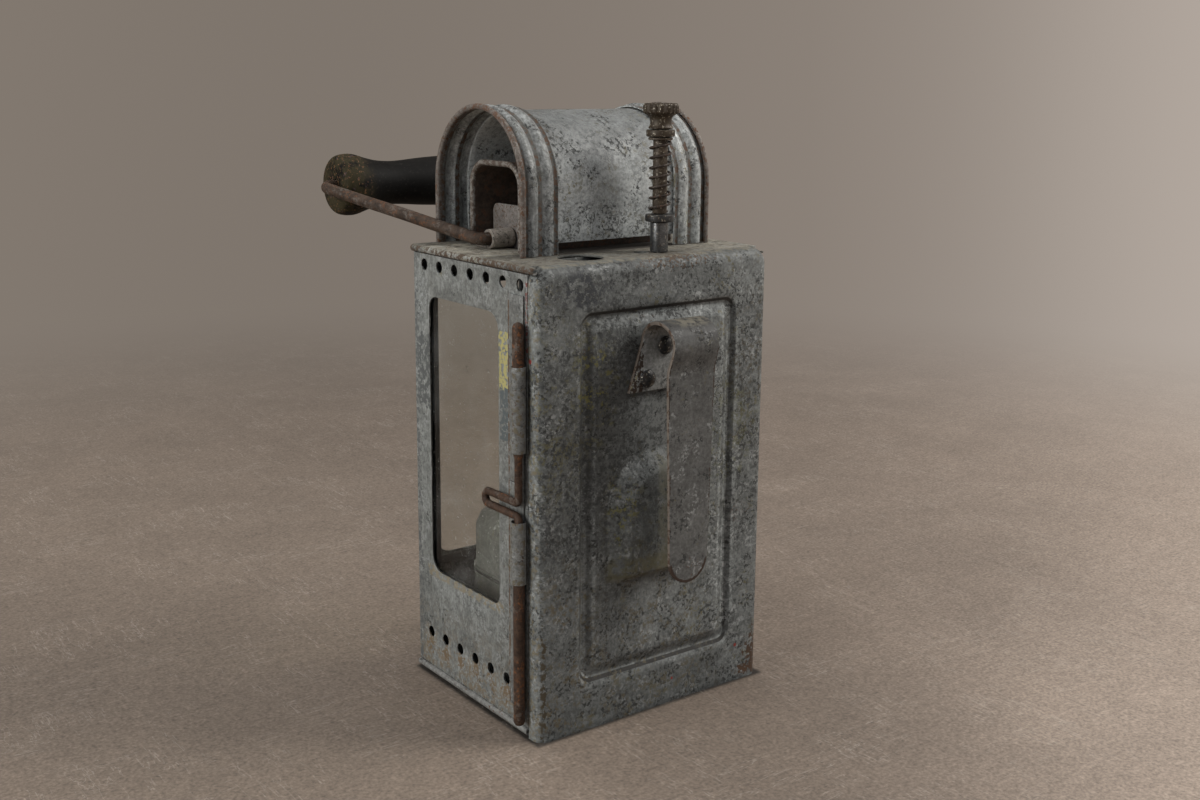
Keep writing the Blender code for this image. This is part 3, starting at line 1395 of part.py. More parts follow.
def burner():
    """Turned gas pillar on the lid, and its forked ceramic tip."""
    height_shares = (
        (BURNER_BORE, 0),
        (BURNER_BASE_RADIUS, 0),
        (BURNER_BASE_RADIUS, 0.07),
        (BURNER_CUP_RADIUS, 0.14),
        (BURNER_NECK_RADIUS, 0.28),
        (BURNER_NECK_RADIUS, 0.60),
        (BURNER_CUP_RADIUS, 0.74),
        (BURNER_CUP_RADIUS, 0.94),
        (TIP_RADIUS + GAP, 1),
        (BURNER_BORE, 1),
    )
    profile = [(radius, BURNER_HEIGHT * share) for radius, share in height_shares]
    turned("burner_pillar", profile, "brass", (0, BURNER_Y, BURNER_Z), steps=ROLL_STEPS)
    tip_z = BURNER_Z + BURNER_HEIGHT + GAP
    body = bmesh.new()
    prism(body, "Z", arc((0, BURNER_Y), TIP_RADIUS, 0, 360, ROLL_STEPS)[:-1], tip_z, tip_z + TIP_HEIGHT)
    tip = from_bmesh("burner_tip", body, "ceramic")
    for side, name in ((-1, "left"), (1, "right")):
        jet = bmesh.new()
        prism(jet, "Z", arc((0, 0), JET_RADIUS, 0, 360, ROLL_STEPS)[:-1], 0, JET_LENGTH + TIP_HEIGHT / 2)
        tool = cutter("jet_" + name, jet)
        tool.matrix_world = Matrix.Translation((0, BURNER_Y, tip_z + TIP_HEIGHT / 2)) @ Matrix.Rotation(
            math.radians(side * JET_LEAN_DEG), 4, "Y"
        )
        boolean(tip, tool, "UNION")


def main():
    clear_scene()
    collection(PARTS)
    collection(CUTTERS)
    back_shell()
    top_plate()
    base_pan()
    front_frame()
    side_panel("side_door", -1, True)
    side_panel("right_panel", 1, False)
    all_glazing()
    door_hinge()
    bolt_knuckles()
    hood()
    inner_duct()
    bail_brackets()
    valve_body()
    belt_hook()
    water_tank()
    reflector()
    carbide_pot()
    burner()
    door_pivot = joint("door_axis", (HINGE_X, HINGE_Y, 0))
    for name in ("side_door", "door_glass", "door_glass_frame", "bolt_guide_lower", "bolt_guide_upper"):
        parent(bpy.data.objects[name], door_pivot)
    bolt_pivot = joint("bolt_axis", (BOLT_X, BOLT_Y, 0))
    parent(bolt_pivot, door_pivot)
    door_bolt(bolt_pivot)
    bail(joint("bail_axis", (0, HOOD_CENTRE_Y, PIVOT_Z)))
    valve_pivot = joint("valve_axis", (VALVE_X, VALVE_Y, 0))
    valve_spring(valve_pivot)
    valve_spindle(valve_pivot)


main()
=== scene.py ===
"""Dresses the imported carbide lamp: weathered materials, finer sheet metal, studio light and the camera.

Metres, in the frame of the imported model: +Z up, the back wall faces -Y and the side door faces -X.
"""

import json
import math

import bmesh
import bpy
from mathutils import Matrix, Vector, noise

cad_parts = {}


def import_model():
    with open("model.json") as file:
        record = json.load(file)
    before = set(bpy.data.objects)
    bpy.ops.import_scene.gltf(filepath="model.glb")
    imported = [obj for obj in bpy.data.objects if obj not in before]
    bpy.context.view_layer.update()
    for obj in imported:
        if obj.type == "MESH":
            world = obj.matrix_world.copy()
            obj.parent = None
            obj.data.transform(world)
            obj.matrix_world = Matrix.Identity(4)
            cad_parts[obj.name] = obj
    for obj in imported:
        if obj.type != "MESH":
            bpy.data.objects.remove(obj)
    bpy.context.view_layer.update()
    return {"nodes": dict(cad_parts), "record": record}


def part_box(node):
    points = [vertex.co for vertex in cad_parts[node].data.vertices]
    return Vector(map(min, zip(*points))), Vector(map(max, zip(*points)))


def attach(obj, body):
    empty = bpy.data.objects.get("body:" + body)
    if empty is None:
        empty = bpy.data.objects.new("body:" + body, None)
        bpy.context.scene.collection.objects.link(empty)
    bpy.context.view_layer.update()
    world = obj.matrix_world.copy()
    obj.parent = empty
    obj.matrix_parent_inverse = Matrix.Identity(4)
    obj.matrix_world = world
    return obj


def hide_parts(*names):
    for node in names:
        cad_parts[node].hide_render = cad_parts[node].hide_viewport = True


# Camera, fitted to the photograph
PHOTO_WIDTH_PX = 1200
PHOTO_HEIGHT_PX = 800
FOCAL_PX = 1387.3
CENTRE_PX = (580.25, 334.65)
SENSOR_MM = 36
CAMERA_PLACE = (-0.36673, -0.490594, 0.274243)
CAMERA_AZIMUTH_DEG = -36.355
CAMERA_PITCH_DEG = 10.582
CAMERA_ROLL_DEG = 0.286
CAMERA_CLIP = (0.01, 20)

# Sheet metal
SHEET = 0.0008
GAP = 0.0003
CASE_WIDTH = 0.124
CASE_DEPTH = 0.098
CASE_HEIGHT = 0.2
BEND = 0.005
BACK_FLANGE = 0.0025
TOP_CORNER = 0.0022
SQUARE_CORNER = 0.00001
VENT_COUNT = 6
VENT_PITCH = 0.0126
VENT_FIRST_Y = -0.025
VENT_Z = 0.0158
ROLL_X = CASE_WIDTH / 2 - SHEET
ROLL_FRONT = -0.034

# Pressed frame and boss of the back wall
BEAD_LEFT = -0.042
BEAD_RIGHT = 0.0435
BEAD_LOW = 0.02
BEAD_HIGH = 0.181
BEAD_WIDTH = 0.009
BEAD_DEPTH = 0.0018
BEAD_CORNER = 0.006
BOSS_HALF_WIDTH = 0.0275
BOSS_LOW = 0.0615
BOSS_HIGH = 0.1195
BOSS_CORNER = 0.006
BOSS_RISE = 0.004
BOSS_RIM = 0.011
BOSS_LIP = 0.0045
BOSS_ARCH_SHARE = 0.93

# Belt hook
HOOK_X = 0.0015
HOOK_STRIP = 0.0014
HOOK_TOP = 0.1755
HOOK_FOOT_LOW = 0.1445
HOOK_TIP = 0.0635
HOOK_STANDOFF = 0.0185
HOOK_BULGE = 0.003
HOOK_LOOP_WIDTH = 0.0238
HOOK_LOOP_RISE = 0.0085
HOOK_NECK = 0.013
HOOK_FOOT_WIDTH = 0.038
HOOK_SHOULDER_WIDTH = 0.025
HOOK_TIP_WIDTH = 0.0205
RIVET_RADIUS = 0.0039
RIVET_RISE = 0.002

# Tunnel hood, duct and brackets
HOOD_LENGTH = 0.102
HOOD_RADIUS = 0.0332
HOOD_CENTRE = (0.014, 0.2275)
COLLAR_LENGTH = 0.0195
COLLAR_LAP = 0.004
COLLAR_BEAD = 0.0013
GROOVE_SHARES = (0.16, 0.53, 0.93)
HOOD_SLOT = 0.005
RIM_RADIUS = 0.0009
RIM_ROOM = 0.004
DUCT_LENGTH = 0.084
DUCT_WIDTH = 0.037
DUCT_TOP = 0.2365
DUCT_CORNER = 0.009
WIRE_RADIUS = 0.00275
STRAP = 0.0012
BRACKET_OUTER = 0.045
BRACKET_LENGTH = 0.0115
BRACKET_LEAF = 0.009

# Bail and grip
BAIL_ELBOW_X = 0.0495
BAIL_CORNER_X = 0.07
BAIL_REACH = 0.1127
BAIL_ELBOW = 0.005
BAIL_CORNER = 0.0065
BAIL_REST_DEG = 8.5
GRIP_LENGTH = 0.1256
GRIP_END_RADIUS = 0.015
GRIP_WAIST_RADIUS = 0.01075
GRIP_RECESS = 0.001

# Drip valve
VALVE_X = 0.011
VALVE_Y = -0.034
NEEDLE_BORE = 0.0016
VALVE_TUBE_RADIUS = 0.0039
VALVE_CAP_RADIUS = 0.0061
STEM_RADIUS = 0.0031
SPRING_RADIUS = 0.0043
SPRING_WIRE_RADIUS = 0.0005
SPRING_TURNS = 7
WASHER_RADIUS = 0.0052
COLLAR_DISC_RADIUS = 0.0061
KNOB_RADIUS = 0.0076
FLUTES = 22
FLUTE_DEPTH = 0.0004
CHAMFER = 0.0008
FINE_CHAMFER = 0.0003

# Drop bolt
BOLT_RADIUS = 0.0024
BOLT_WIRE_RADIUS = 0.00165
LOOP_SPACING = 0.0055
LOOP_REACH = 0.025
LOOP_BEND = 0.0023
LOOP_LOW = 0.0975
BOLT_SHOULDER = 0.09
BOLT_GUIDE_WALL = 0.0006
BOLT_LEAF = 0.0115
KNUCKLES = {"lower": (0.069, 0.0955), "upper": (0.1245, 0.16)}

# Softened edges, and the length and depth of the waves in old sheet and wire
BEVEL = 0.0002
PANEL_BEVEL = 0.00018
FINE_BEVEL = 0.00015
WALL_WAVE = (0.045, 0.0005)
HOOK_WAVE = (0.03, 0.0006)
HOOD_WAVE = (0.03, 0.0002)
WIRE_WAVE = (0.03, 0.0003)

# Worked out from the sizes above
HALF_SHEET = SHEET / 2
BACK_FACE = -CASE_DEPTH / 2
BACK_Y = BACK_FACE + HALF_SHEET
HOOD_AXIS = ((0, *HOOD_CENTRE), (0.3, 1, 1))
DECK = CASE_HEIGHT + GAP
PIVOT_Z = DECK + WIRE_RADIUS + GAP + STRAP

# Facets, and how close two points are one
WIRE_STEP = 0.006
WELD = 1e-7
SOLID_WELD = 1e-6
FINE_STEPS = 48
SIDE_COUNT = 36
CORNER_COUNT = 8

# Directions that faces turn to
UP = (0, 0, 1)
DOWN = (0, 0, -1)
LEFT = (-1, 0, 0)
RIGHT = (1, 0, 0)
FRONT = (0, 1, 0)
BACK = (0, -1, 0)

# Floor: its size, the painted contact shadow under the lamp, where it turns into the backdrop, and its tint
FLOOR_RADIUS = 6.0
CONTACT_SHADOW_EDGE = 0.0002
CONTACT_SHADOW_SOFT = 0.0028
FLOOR_BLEND = (0.42, 1.1)
FLOOR_WARMTH = (1.0, 0.905, 0.81, 1)

# Light: the sky's colour and strength, and each soft box's place, size, watts and colour
SKY_COLOUR = (0.8, 0.88, 1.0, 1)
SKY_STRENGTH = 0.35
LIGHT_TARGET = (0, 0, 0.12)
SOFTBOXES = {
    "key_light": ((1.25, -0.75, 1.35), (0.7, 0.7), 26, (1.0, 0.97, 0.93)),
    "side_light": ((-1.7, 0.1, 0.75), (0.9, 1.1), 23, (1.0, 0.99, 0.97)),
    "top_light": ((-0.1, 0.35, 1.7), (1.0, 1.0), 8, (1.0, 0.98, 0.95)),
}

# The backdrop's colours across the view, by the sine of the angle to its middle; painted light makes them
# brightest to the right
BACKDROP_TONES = (
    (-0.4, (0.228, 0.194, 0.164)),
    (-0.15, (0.194, 0.166, 0.141)),
    (0.16, (0.256, 0.218, 0.187)),
    (0.28, (0.3, 0.258, 0.225)),
    (0.4, (0.46, 0.402, 0.356)),
)


class Nodes:
    """A node tree, with short ways to add to it."""

    def __init__(self, tree):
        self.tree = tree

    def node(self, kind, *links, **settings):
        made = self.tree.nodes.new("ShaderNode" + kind)
        for name, value in settings.items():
            setattr(made, name, value)
        for socket, value in links:
            if hasattr(value, "is_output"):
                self.tree.links.new(value, made.inputs[socket])
            elif value is not None:
                made.inputs[socket].default_value = value
        return made

    def maths(self, operation, first, second=0.0, clamp=False):
        made = self.node("Math", (0, first), (1, second), operation=operation, use_clamp=clamp)
        return made.outputs[0]

    def vector(self, operation, first, second=None, output=0):
        return self.node("VectorMath", (0, first), (1, second), operation=operation).outputs[output]

    def surface(self, share, first, second, end):
        """Mixes two shaders by a share and makes them the surface."""
        mix = self.node("MixShader", (0, share), (1, first), (2, second))
        self.tree.links.new(mix.outputs[0], self.tree.nodes[end].inputs["Surface"])


class Paint(Nodes):
    """A Principled material built up in layers, each laid through a mask in object coordinates.

    Where a mask is asked for, a tuple of masks and weights stands for their product.
    """

    def __init__(self, name, colour, roughness, metallic=0.0, specular=0.5):
        self.made = bpy.data.materials.new(name)
        self.made.use_nodes = True
        super().__init__(self.made.node_tree)
        self.shader = self.tree.nodes["Principled BSDF"]
        self.shader.inputs["Base Color"].default_value = (*colour, 1)
        self.shader.inputs["Roughness"].default_value = roughness
        self.shader.inputs["Metallic"].default_value = metallic
        self.shader.inputs["Specular IOR Level"].default_value = specular
        where = self.tree.nodes.new("ShaderNodeTexCoord")
        self.point = where.outputs["Object"]
        self.normal = where.outputs["Normal"]
        self.heights = []

    def both(self, *masks):
        result = masks[0]
        for mask in masks[1:]:
            result = self.maths("MULTIPLY", result, mask)
        return result

    def joined(self, mask):
        return self.both(*mask) if isinstance(mask, tuple) else mask

    def either(self, first, second):
        return self.maths("MAXIMUM", first, second)

    def without(self, mask):
        return self.maths("SUBTRACT", 1.0, mask, clamp=True)

    def ramp(self, value, low, high):
        limits = (("Value", value), ("From Min", low), ("From Max", high))
        return self.node("MapRange", *limits, interpolation_type="SMOOTHSTEP").outputs["Result"]

    def noise(self, size, detail=3.0, rough=0.55, stretch=None, shift=0.0):
        """Noise between about 0.25 and 0.75, whose features are as large as size."""
        point = self.point
        if stretch:
            point = self.node("Mapping", ("Vector", point), ("Scale", stretch)).outputs["Vector"]
        if shift:
            point = self.vector("ADD", point, (shift, shift, shift))
        settings = (("Scale", 1 / size), ("Detail", detail), ("Roughness", rough))
        return self.node("TexNoise", ("Vector", point), *settings).outputs[0]

    def clouds(self, low, high, *noise, **settings):
        """Noise cut off softly at low and high."""
        return self.ramp(self.noise(*noise, **settings), low, high)

    def flecks(self, size, least, field_size, field_least, shift):
        """Specks of a size that gather in fields; the higher the least values, the fewer there are."""
        specks = self.clouds(least, least + 0.025, size, 4, 0.7, shift=shift)
        field = self.clouds(field_least, field_least + 0.12, field_size, 3, 0.6, shift=shift + 11)
        return self.both(specks, field)

    def hairs(self, threads, middle, half):
        """The thin lines where noise crosses a value."""
        rising = self.ramp(threads, middle - half, middle)
        return self.both(rising, self.without(self.ramp(threads, middle, middle + half)))

    def along(self, axis, low, high):
        """A mask that rises from low to high along an axis; low may be the larger one."""
        value = self.node("SeparateXYZ", (0, self.point)).outputs["XYZ".index(axis)]
        if low > high:
            return self.without(self.ramp(value, high, low))
        return self.ramp(value, low, high)

    def near(self, centre, inner, outer, stretch=(1, 1, 1)):
        """A mask that falls from inner to outer distance from a place."""
        offset = self.vector("MULTIPLY", self.vector("SUBTRACT", self.point, centre), stretch)
        return self.without(self.ramp(self.vector("LENGTH", offset, output="Value"), inner, outer))

    def box(self, low, high, soft):
        """A mask of a box with soft sides; along an axis where it is very long, it has no sides."""
        mask = None
        for axis, start, end in zip("XYZ", low, high):
            if end - start > 0.5:
                continue
            side = self.both(self.along(axis, start - soft, start), self.along(axis, end + soft, end))
            mask = side if mask is None else self.both(mask, side)
        return mask

    def ends(self, half, low, high):
        """A mask of both ends along X, from low to high before half the length."""
        left, right = (self.along("X", side * (half - low), side * (half - high)) for side in (-1, 1))
        return self.either(left, right)

    def ragged(self, mask, grain, spread=1.0, soft=0.08, shift=0.0):
        """A mask with torn edges and torn holes."""
        mask = self.joined(mask)
        rough = self.maths("SUBTRACT", self.noise(grain, 4, 0.65, shift=shift), 0.5)
        torn = self.maths("ADD", mask, self.maths("MULTIPLY", rough, spread * 2))
        return self.both(self.ramp(torn, 0.5, 0.5 + soft), self.ramp(mask, 0.02, 0.08))

    def facing(self, direction, low, high):
        """A mask of surfaces that face a direction."""
        return self.ramp(self.vector("DOT_PRODUCT", self.normal, direction, "Value"), low, high)

    def inside(self, centre, axes=(1, 1, 1), soft=0.002):
        """A mask of surfaces that face an axis through a centre."""
        offset = self.vector("MULTIPLY", self.vector("SUBTRACT", self.point, centre), axes)
        value = self.vector("DOT_PRODUCT", offset, self.normal, "Value")
        return self.without(self.ramp(value, -soft, soft))

    def carry(self, target, socket):
        """Gives a socket what the shader's input has so far."""
        if target.is_linked:
            self.tree.links.new(target.links[0].from_socket, socket)
        else:
            socket.default_value = target.default_value

    def layer(self, mask, colour=None, roughness=None, metallic=None, height=0.0):
        """Covers what the mask covers, and raises it by a height in metres."""
        mask = self.joined(mask)
        for socket, value in (("Base Color", colour), ("Roughness", roughness), ("Metallic", metallic)):
            if value is None:
                continue
            target = self.shader.inputs[socket]
            if socket == "Base Color":
                mix = self.node("Mix", (0, mask), (7, (*value, 1)), data_type="RGBA")
                first, result = mix.inputs[6], mix.outputs[2]
            else:
                mix = self.node("Mix", (0, mask), (3, value), data_type="FLOAT")
                first, result = mix.inputs[2], mix.outputs[0]
            self.carry(target, first)
            self.tree.links.new(result, target)
        if height:
            self.heights.append((mask, height))

    def layers(self, *rows):
        """Lays one layer over another: mask, colour, roughness, metallic and height of each."""
        for row in rows:
            self.layer(*row)

    def stains(self, *rows):
        """Lays layers with torn edges: mask, then grain, spread, softness and shift, then the layer."""
        for mask, torn, *look in rows:
            self.layer(self.ragged(mask, *torn), *look)

    def bumps(self, height, *noise, **settings):
        self.heights.append((self.noise(*noise, **settings), height))

    def multiply(self, factor):
        """Multiplies the colour by a value or a colour."""
        target = self.shader.inputs["Base Color"]
        mix = self.node("Mix", (0, 1.0), (7, factor), data_type="RGBA", blend_type="MULTIPLY")
        self.carry(target, mix.inputs[6])
        self.tree.links.new(mix.outputs[2], target)

    def tone(self, value, low, high, start=0.0, end=1.0):
        """Darkens or lightens the colour by a factor that follows a value from start to end."""
        span = (("From Min", start), ("From Max", end), ("To Min", low), ("To Max", high))
        self.multiply(self.node("MapRange", ("Value", self.joined(value)), *span).outputs["Result"])

    def tones(self, *rows):
        """Darkens or lightens the colour by a factor under each mask."""
        for mask, factor in rows:
            self.tone(mask, 1.0, factor)

    def mottle(self, size, low, high, detail=4, rough=0.65, shift=0.0, stretch=None):
        """Darkens and lightens the colour in clouds of a size."""
        self.tone(self.noise(size, detail, rough, stretch, shift), low, high, 0.3, 0.7)

    def finish(self):
        """Adds the bump of all the layers."""
        total = None
        for mask, height in self.heights:
            part = self.maths("MULTIPLY", mask, height)
            total = part if total is None else self.maths("ADD", total, part)
        if total is not None:
            bump = self.node("Bump", ("Height", total), ("Distance", 1.0), ("Strength", 1.0))
            self.tree.links.new(bump.outputs[0], self.shader.inputs["Normal"])
        return self.made


def zinc(name, colour, dark=0.4, pale=0.4, olive=0.2, rust=0.2, hollow=False):
    """Weathered zinc-coated sheet; dark, pale, olive and rust say how much of each fleck it has.

    A hollow one has soot, darkened further as painted shade, on the faces that turn to the middle of the
    casing.
    """
    paint = Paint(name, colour, 0.6, 0.12)
    paint.mottle(0.03, 0.86, 1.14, 2)
    paint.mottle(0.0065, 0.72, 1.28, 5, 0.7, 0.4)
    paint.mottle(0.0016, 0.52, 1.48, 4, 0.75, 1.9)
    paint.bumps(0.00006, 0.0008, 3, 0.6)
    paint.bumps(0.0005, 0.022, 1)
    for amount, more, size, least, field_size, field_least, shift, weight, look in (
        (pale, 0.04, 0.0018, 0.55, 0.011, 0.62, 0.9, 0.7, ((0.32, 0.33, 0.32), 0.5, 0.25)),
        (olive, 0.04, 0.002, 0.57, 0.016, 0.62, 2.7, 0.8, ((0.105, 0.09, 0.042), 0.75, 0.0)),
        (dark, 0.05, 0.0017, 0.56, 0.01, 0.62, 0.2, 0.9, ((0.022, 0.023, 0.022), 0.7, 0.1, -0.0001)),
        (rust, 0.05, 0.0012, 0.61, 0.02, 0.64, 2.1, 1.0, ((0.085, 0.042, 0.02), 0.85, 0.0, 0.00004)),
    ):
        specks = paint.flecks(size, least - more * amount, field_size, field_least - 0.3 * amount, shift)
        paint.layer((specks, weight), *look)
    if hollow:
        # Soot and painted shade on the faces turned inward.
        inner = paint.inside((0, 0, CASE_HEIGHT / 2))
        paint.layer(inner, (0.02, 0.019, 0.017), 0.75, 0.1)
        streaks = paint.clouds(0.3, 0.7, 0.006, 3, stretch=(1, 1, 0.4))
        paint.layer((inner, streaks, 0.4), (0.05, 0.046, 0.04), 0.7, 0.1)
    return paint


def rusty(name, colour, orange, worn):
    """Iron with an even brown rust, scaly in places and worn grey in others, each by a weight."""
    paint = Paint(name, colour, 0.68, 0.1, specular=0.35)
    paint.mottle(0.0045, 0.42, 1.58)
    paint.mottle(0.001, 0.62, 1.38, 3, 0.6)
    paint.bumps(0.00008, 0.0008, 3, 0.6)
    paint.layers(
        ((paint.flecks(0.0018, 0.54, 0.008, 0.46, 0.4), orange), (0.17, 0.066, 0.024), 0.85, 0.0),
        ((paint.flecks(0.0016, 0.5, 0.008, 0.5, 1.4), worn), (0.17, 0.15, 0.13), 0.45, 0.5),
    )
    return paint.finish()


def steel(name, colour, roughness, metallic, brown):
    """Turned metal, dulled and browned by amount, with painted glints."""
    paint = Paint(name, colour, roughness, metallic)
    paint.mottle(0.003, 0.6, 1.4)
    paint.mottle(0.0009, 0.7, 1.3, 3, 0.6, 1.1)
    paint.bumps(0.00003, 0.0012, 2, stretch=(0.15, 0.15, 1))
    film = paint.clouds(0.62 - 0.3 * brown, 0.74 - 0.3 * brown, 0.0025, 3, 0.6, shift=0.6)
    paint.layers(
        ((film, 0.85), (0.032, 0.02, 0.01), 0.6, 0.2),
        # Painted glints: light, shinier specks.
        ((paint.clouds(0.6, 0.68, 0.001, 2, shift=1.7), 0.6), (0.44, 0.4, 0.32), 0.4, 0.6),
    )
    return paint.finish()


def plain(name, colour, roughness, metallic, cloud, rise, grain):
    """One colour with light clouds and a fine grain."""
    paint = Paint(name, colour, roughness, metallic)
    paint.mottle(cloud, 0.6, 1.5)
    paint.bumps(rise, grain, 2)
    return paint.finish()


def steatite(name):
    """Burner ceramic, sooty at its forked ends."""
    paint = Paint(name, (0.55, 0.5, 0.42), 0.6)
    paint.mottle(0.002, 0.75, 1.2)
    paint.layer(paint.along("Z", 0.117, 0.123), (0.1, 0.085, 0.07), 0.8)
    return paint.finish()


def glass(name):
    """Clear pane with a film of dust, scratches and specks; light passes it without a dark shadow."""
    paint = Paint(name, (0.89, 0.9, 0.88), 0.02)
    paint.shader.inputs["Transmission Weight"].default_value = 1.0
    paint.shader.inputs["IOR"].default_value = 1.3
    specks = paint.clouds(0.735, 0.765, 0.0011, 2, 0.5)
    film = paint.clouds(0.45, 0.8, 0.02, 4, 0.6, shift=0.9)
    threads = paint.noise(0.004, 2, 0.5, stretch=(1, 0.5, 1.6), shift=2.9)
    hairs = paint.both(paint.hairs(threads, 0.5, 0.003), paint.clouds(0.63, 0.66, 0.018, 2, shift=6.3), 0.4)
    dirt = paint.maths("ADD", paint.both(specks, 0.7), paint.both(film, 0.03), clamp=True)
    dirt = paint.maths("ADD", dirt, hairs, clamp=True)
    paint.layer(dirt, (0.22, 0.2, 0.17), 0.8)
    paint.tree.links.new(paint.without(dirt), paint.shader.inputs["Transmission Weight"])
    passing = paint.node("BsdfTransparent", (0, (0.9, 0.9, 0.87, 1)))
    shadow = paint.node("LightPath").outputs["Is Shadow Ray"]
    paint.surface(shadow, paint.shader.outputs[0], passing.outputs[0], "Material Output")
    return paint.finish()


def grip_wood(name):
    """Black paint over turned wood, worn to olive brown on the end beads."""
    paint = Paint(name, (0.0028, 0.0026, 0.0024), 0.62, specular=0.12)
    paint.mottle(0.006, 0.6, 1.6)
    paint.bumps(0.00006, 0.002, 3, stretch=(1, 0.2, 0.2))
    ends = paint.either(paint.along("X", -0.044, -0.055), paint.along("X", 0.044, 0.055))
    scuffs = paint.clouds(0.6, 0.66, 0.0013, 3, 0.6, shift=1.1)
    paint.layers(
        ((ends, paint.clouds(0.36, 0.56, 0.005, 4, 0.65, shift=0.3)), (0.033, 0.027, 0.013), 0.7, 0.0),
        ((ends, scuffs), (0.19, 0.09, 0.04), 0.7, 0.0),
        ((ends, paint.clouds(0.63, 0.68, 0.0018, 3, 0.6, shift=4.1), 0.7), (0.08, 0.052, 0.058), 0.7, 0.0),
        ((scuffs, 0.25), (0.05, 0.045, 0.04), 0.6, 0.0),
    )
    return paint.finish()


def door_look():
    """Side walls: cool light grey, yellow and red paint left on the door, ochre below the vents."""
    paint = zinc("side_zinc", (0.162, 0.168, 0.157), 0.22, 0.6, 0.14, 0.1, hollow=True)
    streaks = paint.clouds(0.54, 0.64, 0.0022, 4, 0.7, stretch=(1, 1, 0.3), shift=8.1)
    low = paint.both(paint.along("Z", 0.046, 0.006), paint.flecks(0.0018, 0.48, 0.007, 0.42, 5.2))
    paint.layers(
        ((streaks, 0.5), (0.34, 0.35, 0.33), 0.5, 0.3),
        ((paint.flecks(0.002, 0.53, 0.009, 0.5, 6.1), 0.6), (0.085, 0.087, 0.08), 0.7, 0.1),
        ((low, 0.75), (0.16, 0.118, 0.068), 0.8, 0.0),
    )
    for i in range(VENT_COUNT):
        vent = (-CASE_WIDTH / 2, VENT_FIRST_Y + VENT_PITCH * i, VENT_Z)
        mark = (paint.near(vent, 0, 0.0095, (1, 1.1, 0.9)), 0.62)
        paint.stains((mark, (0.0022, 1.3, 0.15, 0.37 * i), (0.135, 0.094, 0.054), 0.85, 0.0))
    stile = paint.box((-0.07, 0.034, 0.128), (-0.06, 0.046, 0.16), 0.003)
    paint.stains(
        ((stile, 0.58), (0.0022, 1.2, 0.08, 7.7), (0.085, 0.09, 0.087), 0.7, 0.1),
        ((paint.along("Y", 0.04, 0.047), 0.5), (0.0022, 1.2, 0.08, 3.3), (0.1, 0.105, 0.102), 0.7, 0.1),
    )
    door = paint.along("X", -0.06, -0.0615)
    for low_y, high_y, low_z, high_z, soft, weight, grain, colour in (
        (-0.0268, -0.0208, 0.147, 0.171, 0.0012, 0.59, 0.002, (0.38, 0.34, 0.135)),
        (-0.0268, -0.0212, 0.126, 0.1475, 0.0012, 0.62, 0.0022, (0.085, 0.1, 0.102)),
        (-0.0415, -0.04, 0.163, 0.194, 0.0005, 0.5, 0.0014, (0.15, 0.042, 0.032)),
        (-0.0298, -0.0286, 0.012, 0.172, 0.0008, 0.58, 0.002, (0.095, 0.056, 0.03)),
        (-0.024, 0.04, 0.049, 0.0535, 0.001, 0.54, 0.0022, (0.2, 0.17, 0.115)),
    ):
        mark = (door, paint.box((-0.07, low_y, low_z), (-0.06, high_y, high_z), soft), weight)
        paint.stains((mark, (grain, 1.0, 0.08, low_z * 20), colour, 0.7, 0.0))
    return paint.finish()


def guide_look():
    """The bolt's strips: grey with rust at their edges and ochre on the knuckles."""
    paint = zinc("guide_zinc", (0.15, 0.152, 0.142), 0.3, 0.4, 0.3, 0.3, hollow=True)
    rim, knuckle = paint.along("Y", -0.0302, -0.029), paint.along("X", -0.064, -0.0652)
    paint.stains(
        ((rim, 0.62), (0.0022, 1.0, 0.08, 1.1), (0.095, 0.055, 0.03), 0.85, 0.0),
        ((knuckle, 0.44), (0.0024, 1.2, 0.2, 2.2), (0.118, 0.1, 0.066), 0.8, 0.0),
        ((knuckle, 0.36), (0.0016, 1.0, 0.2, 3.2), (0.07, 0.042, 0.028), 0.85, 0.0),
    )
    return paint.finish()


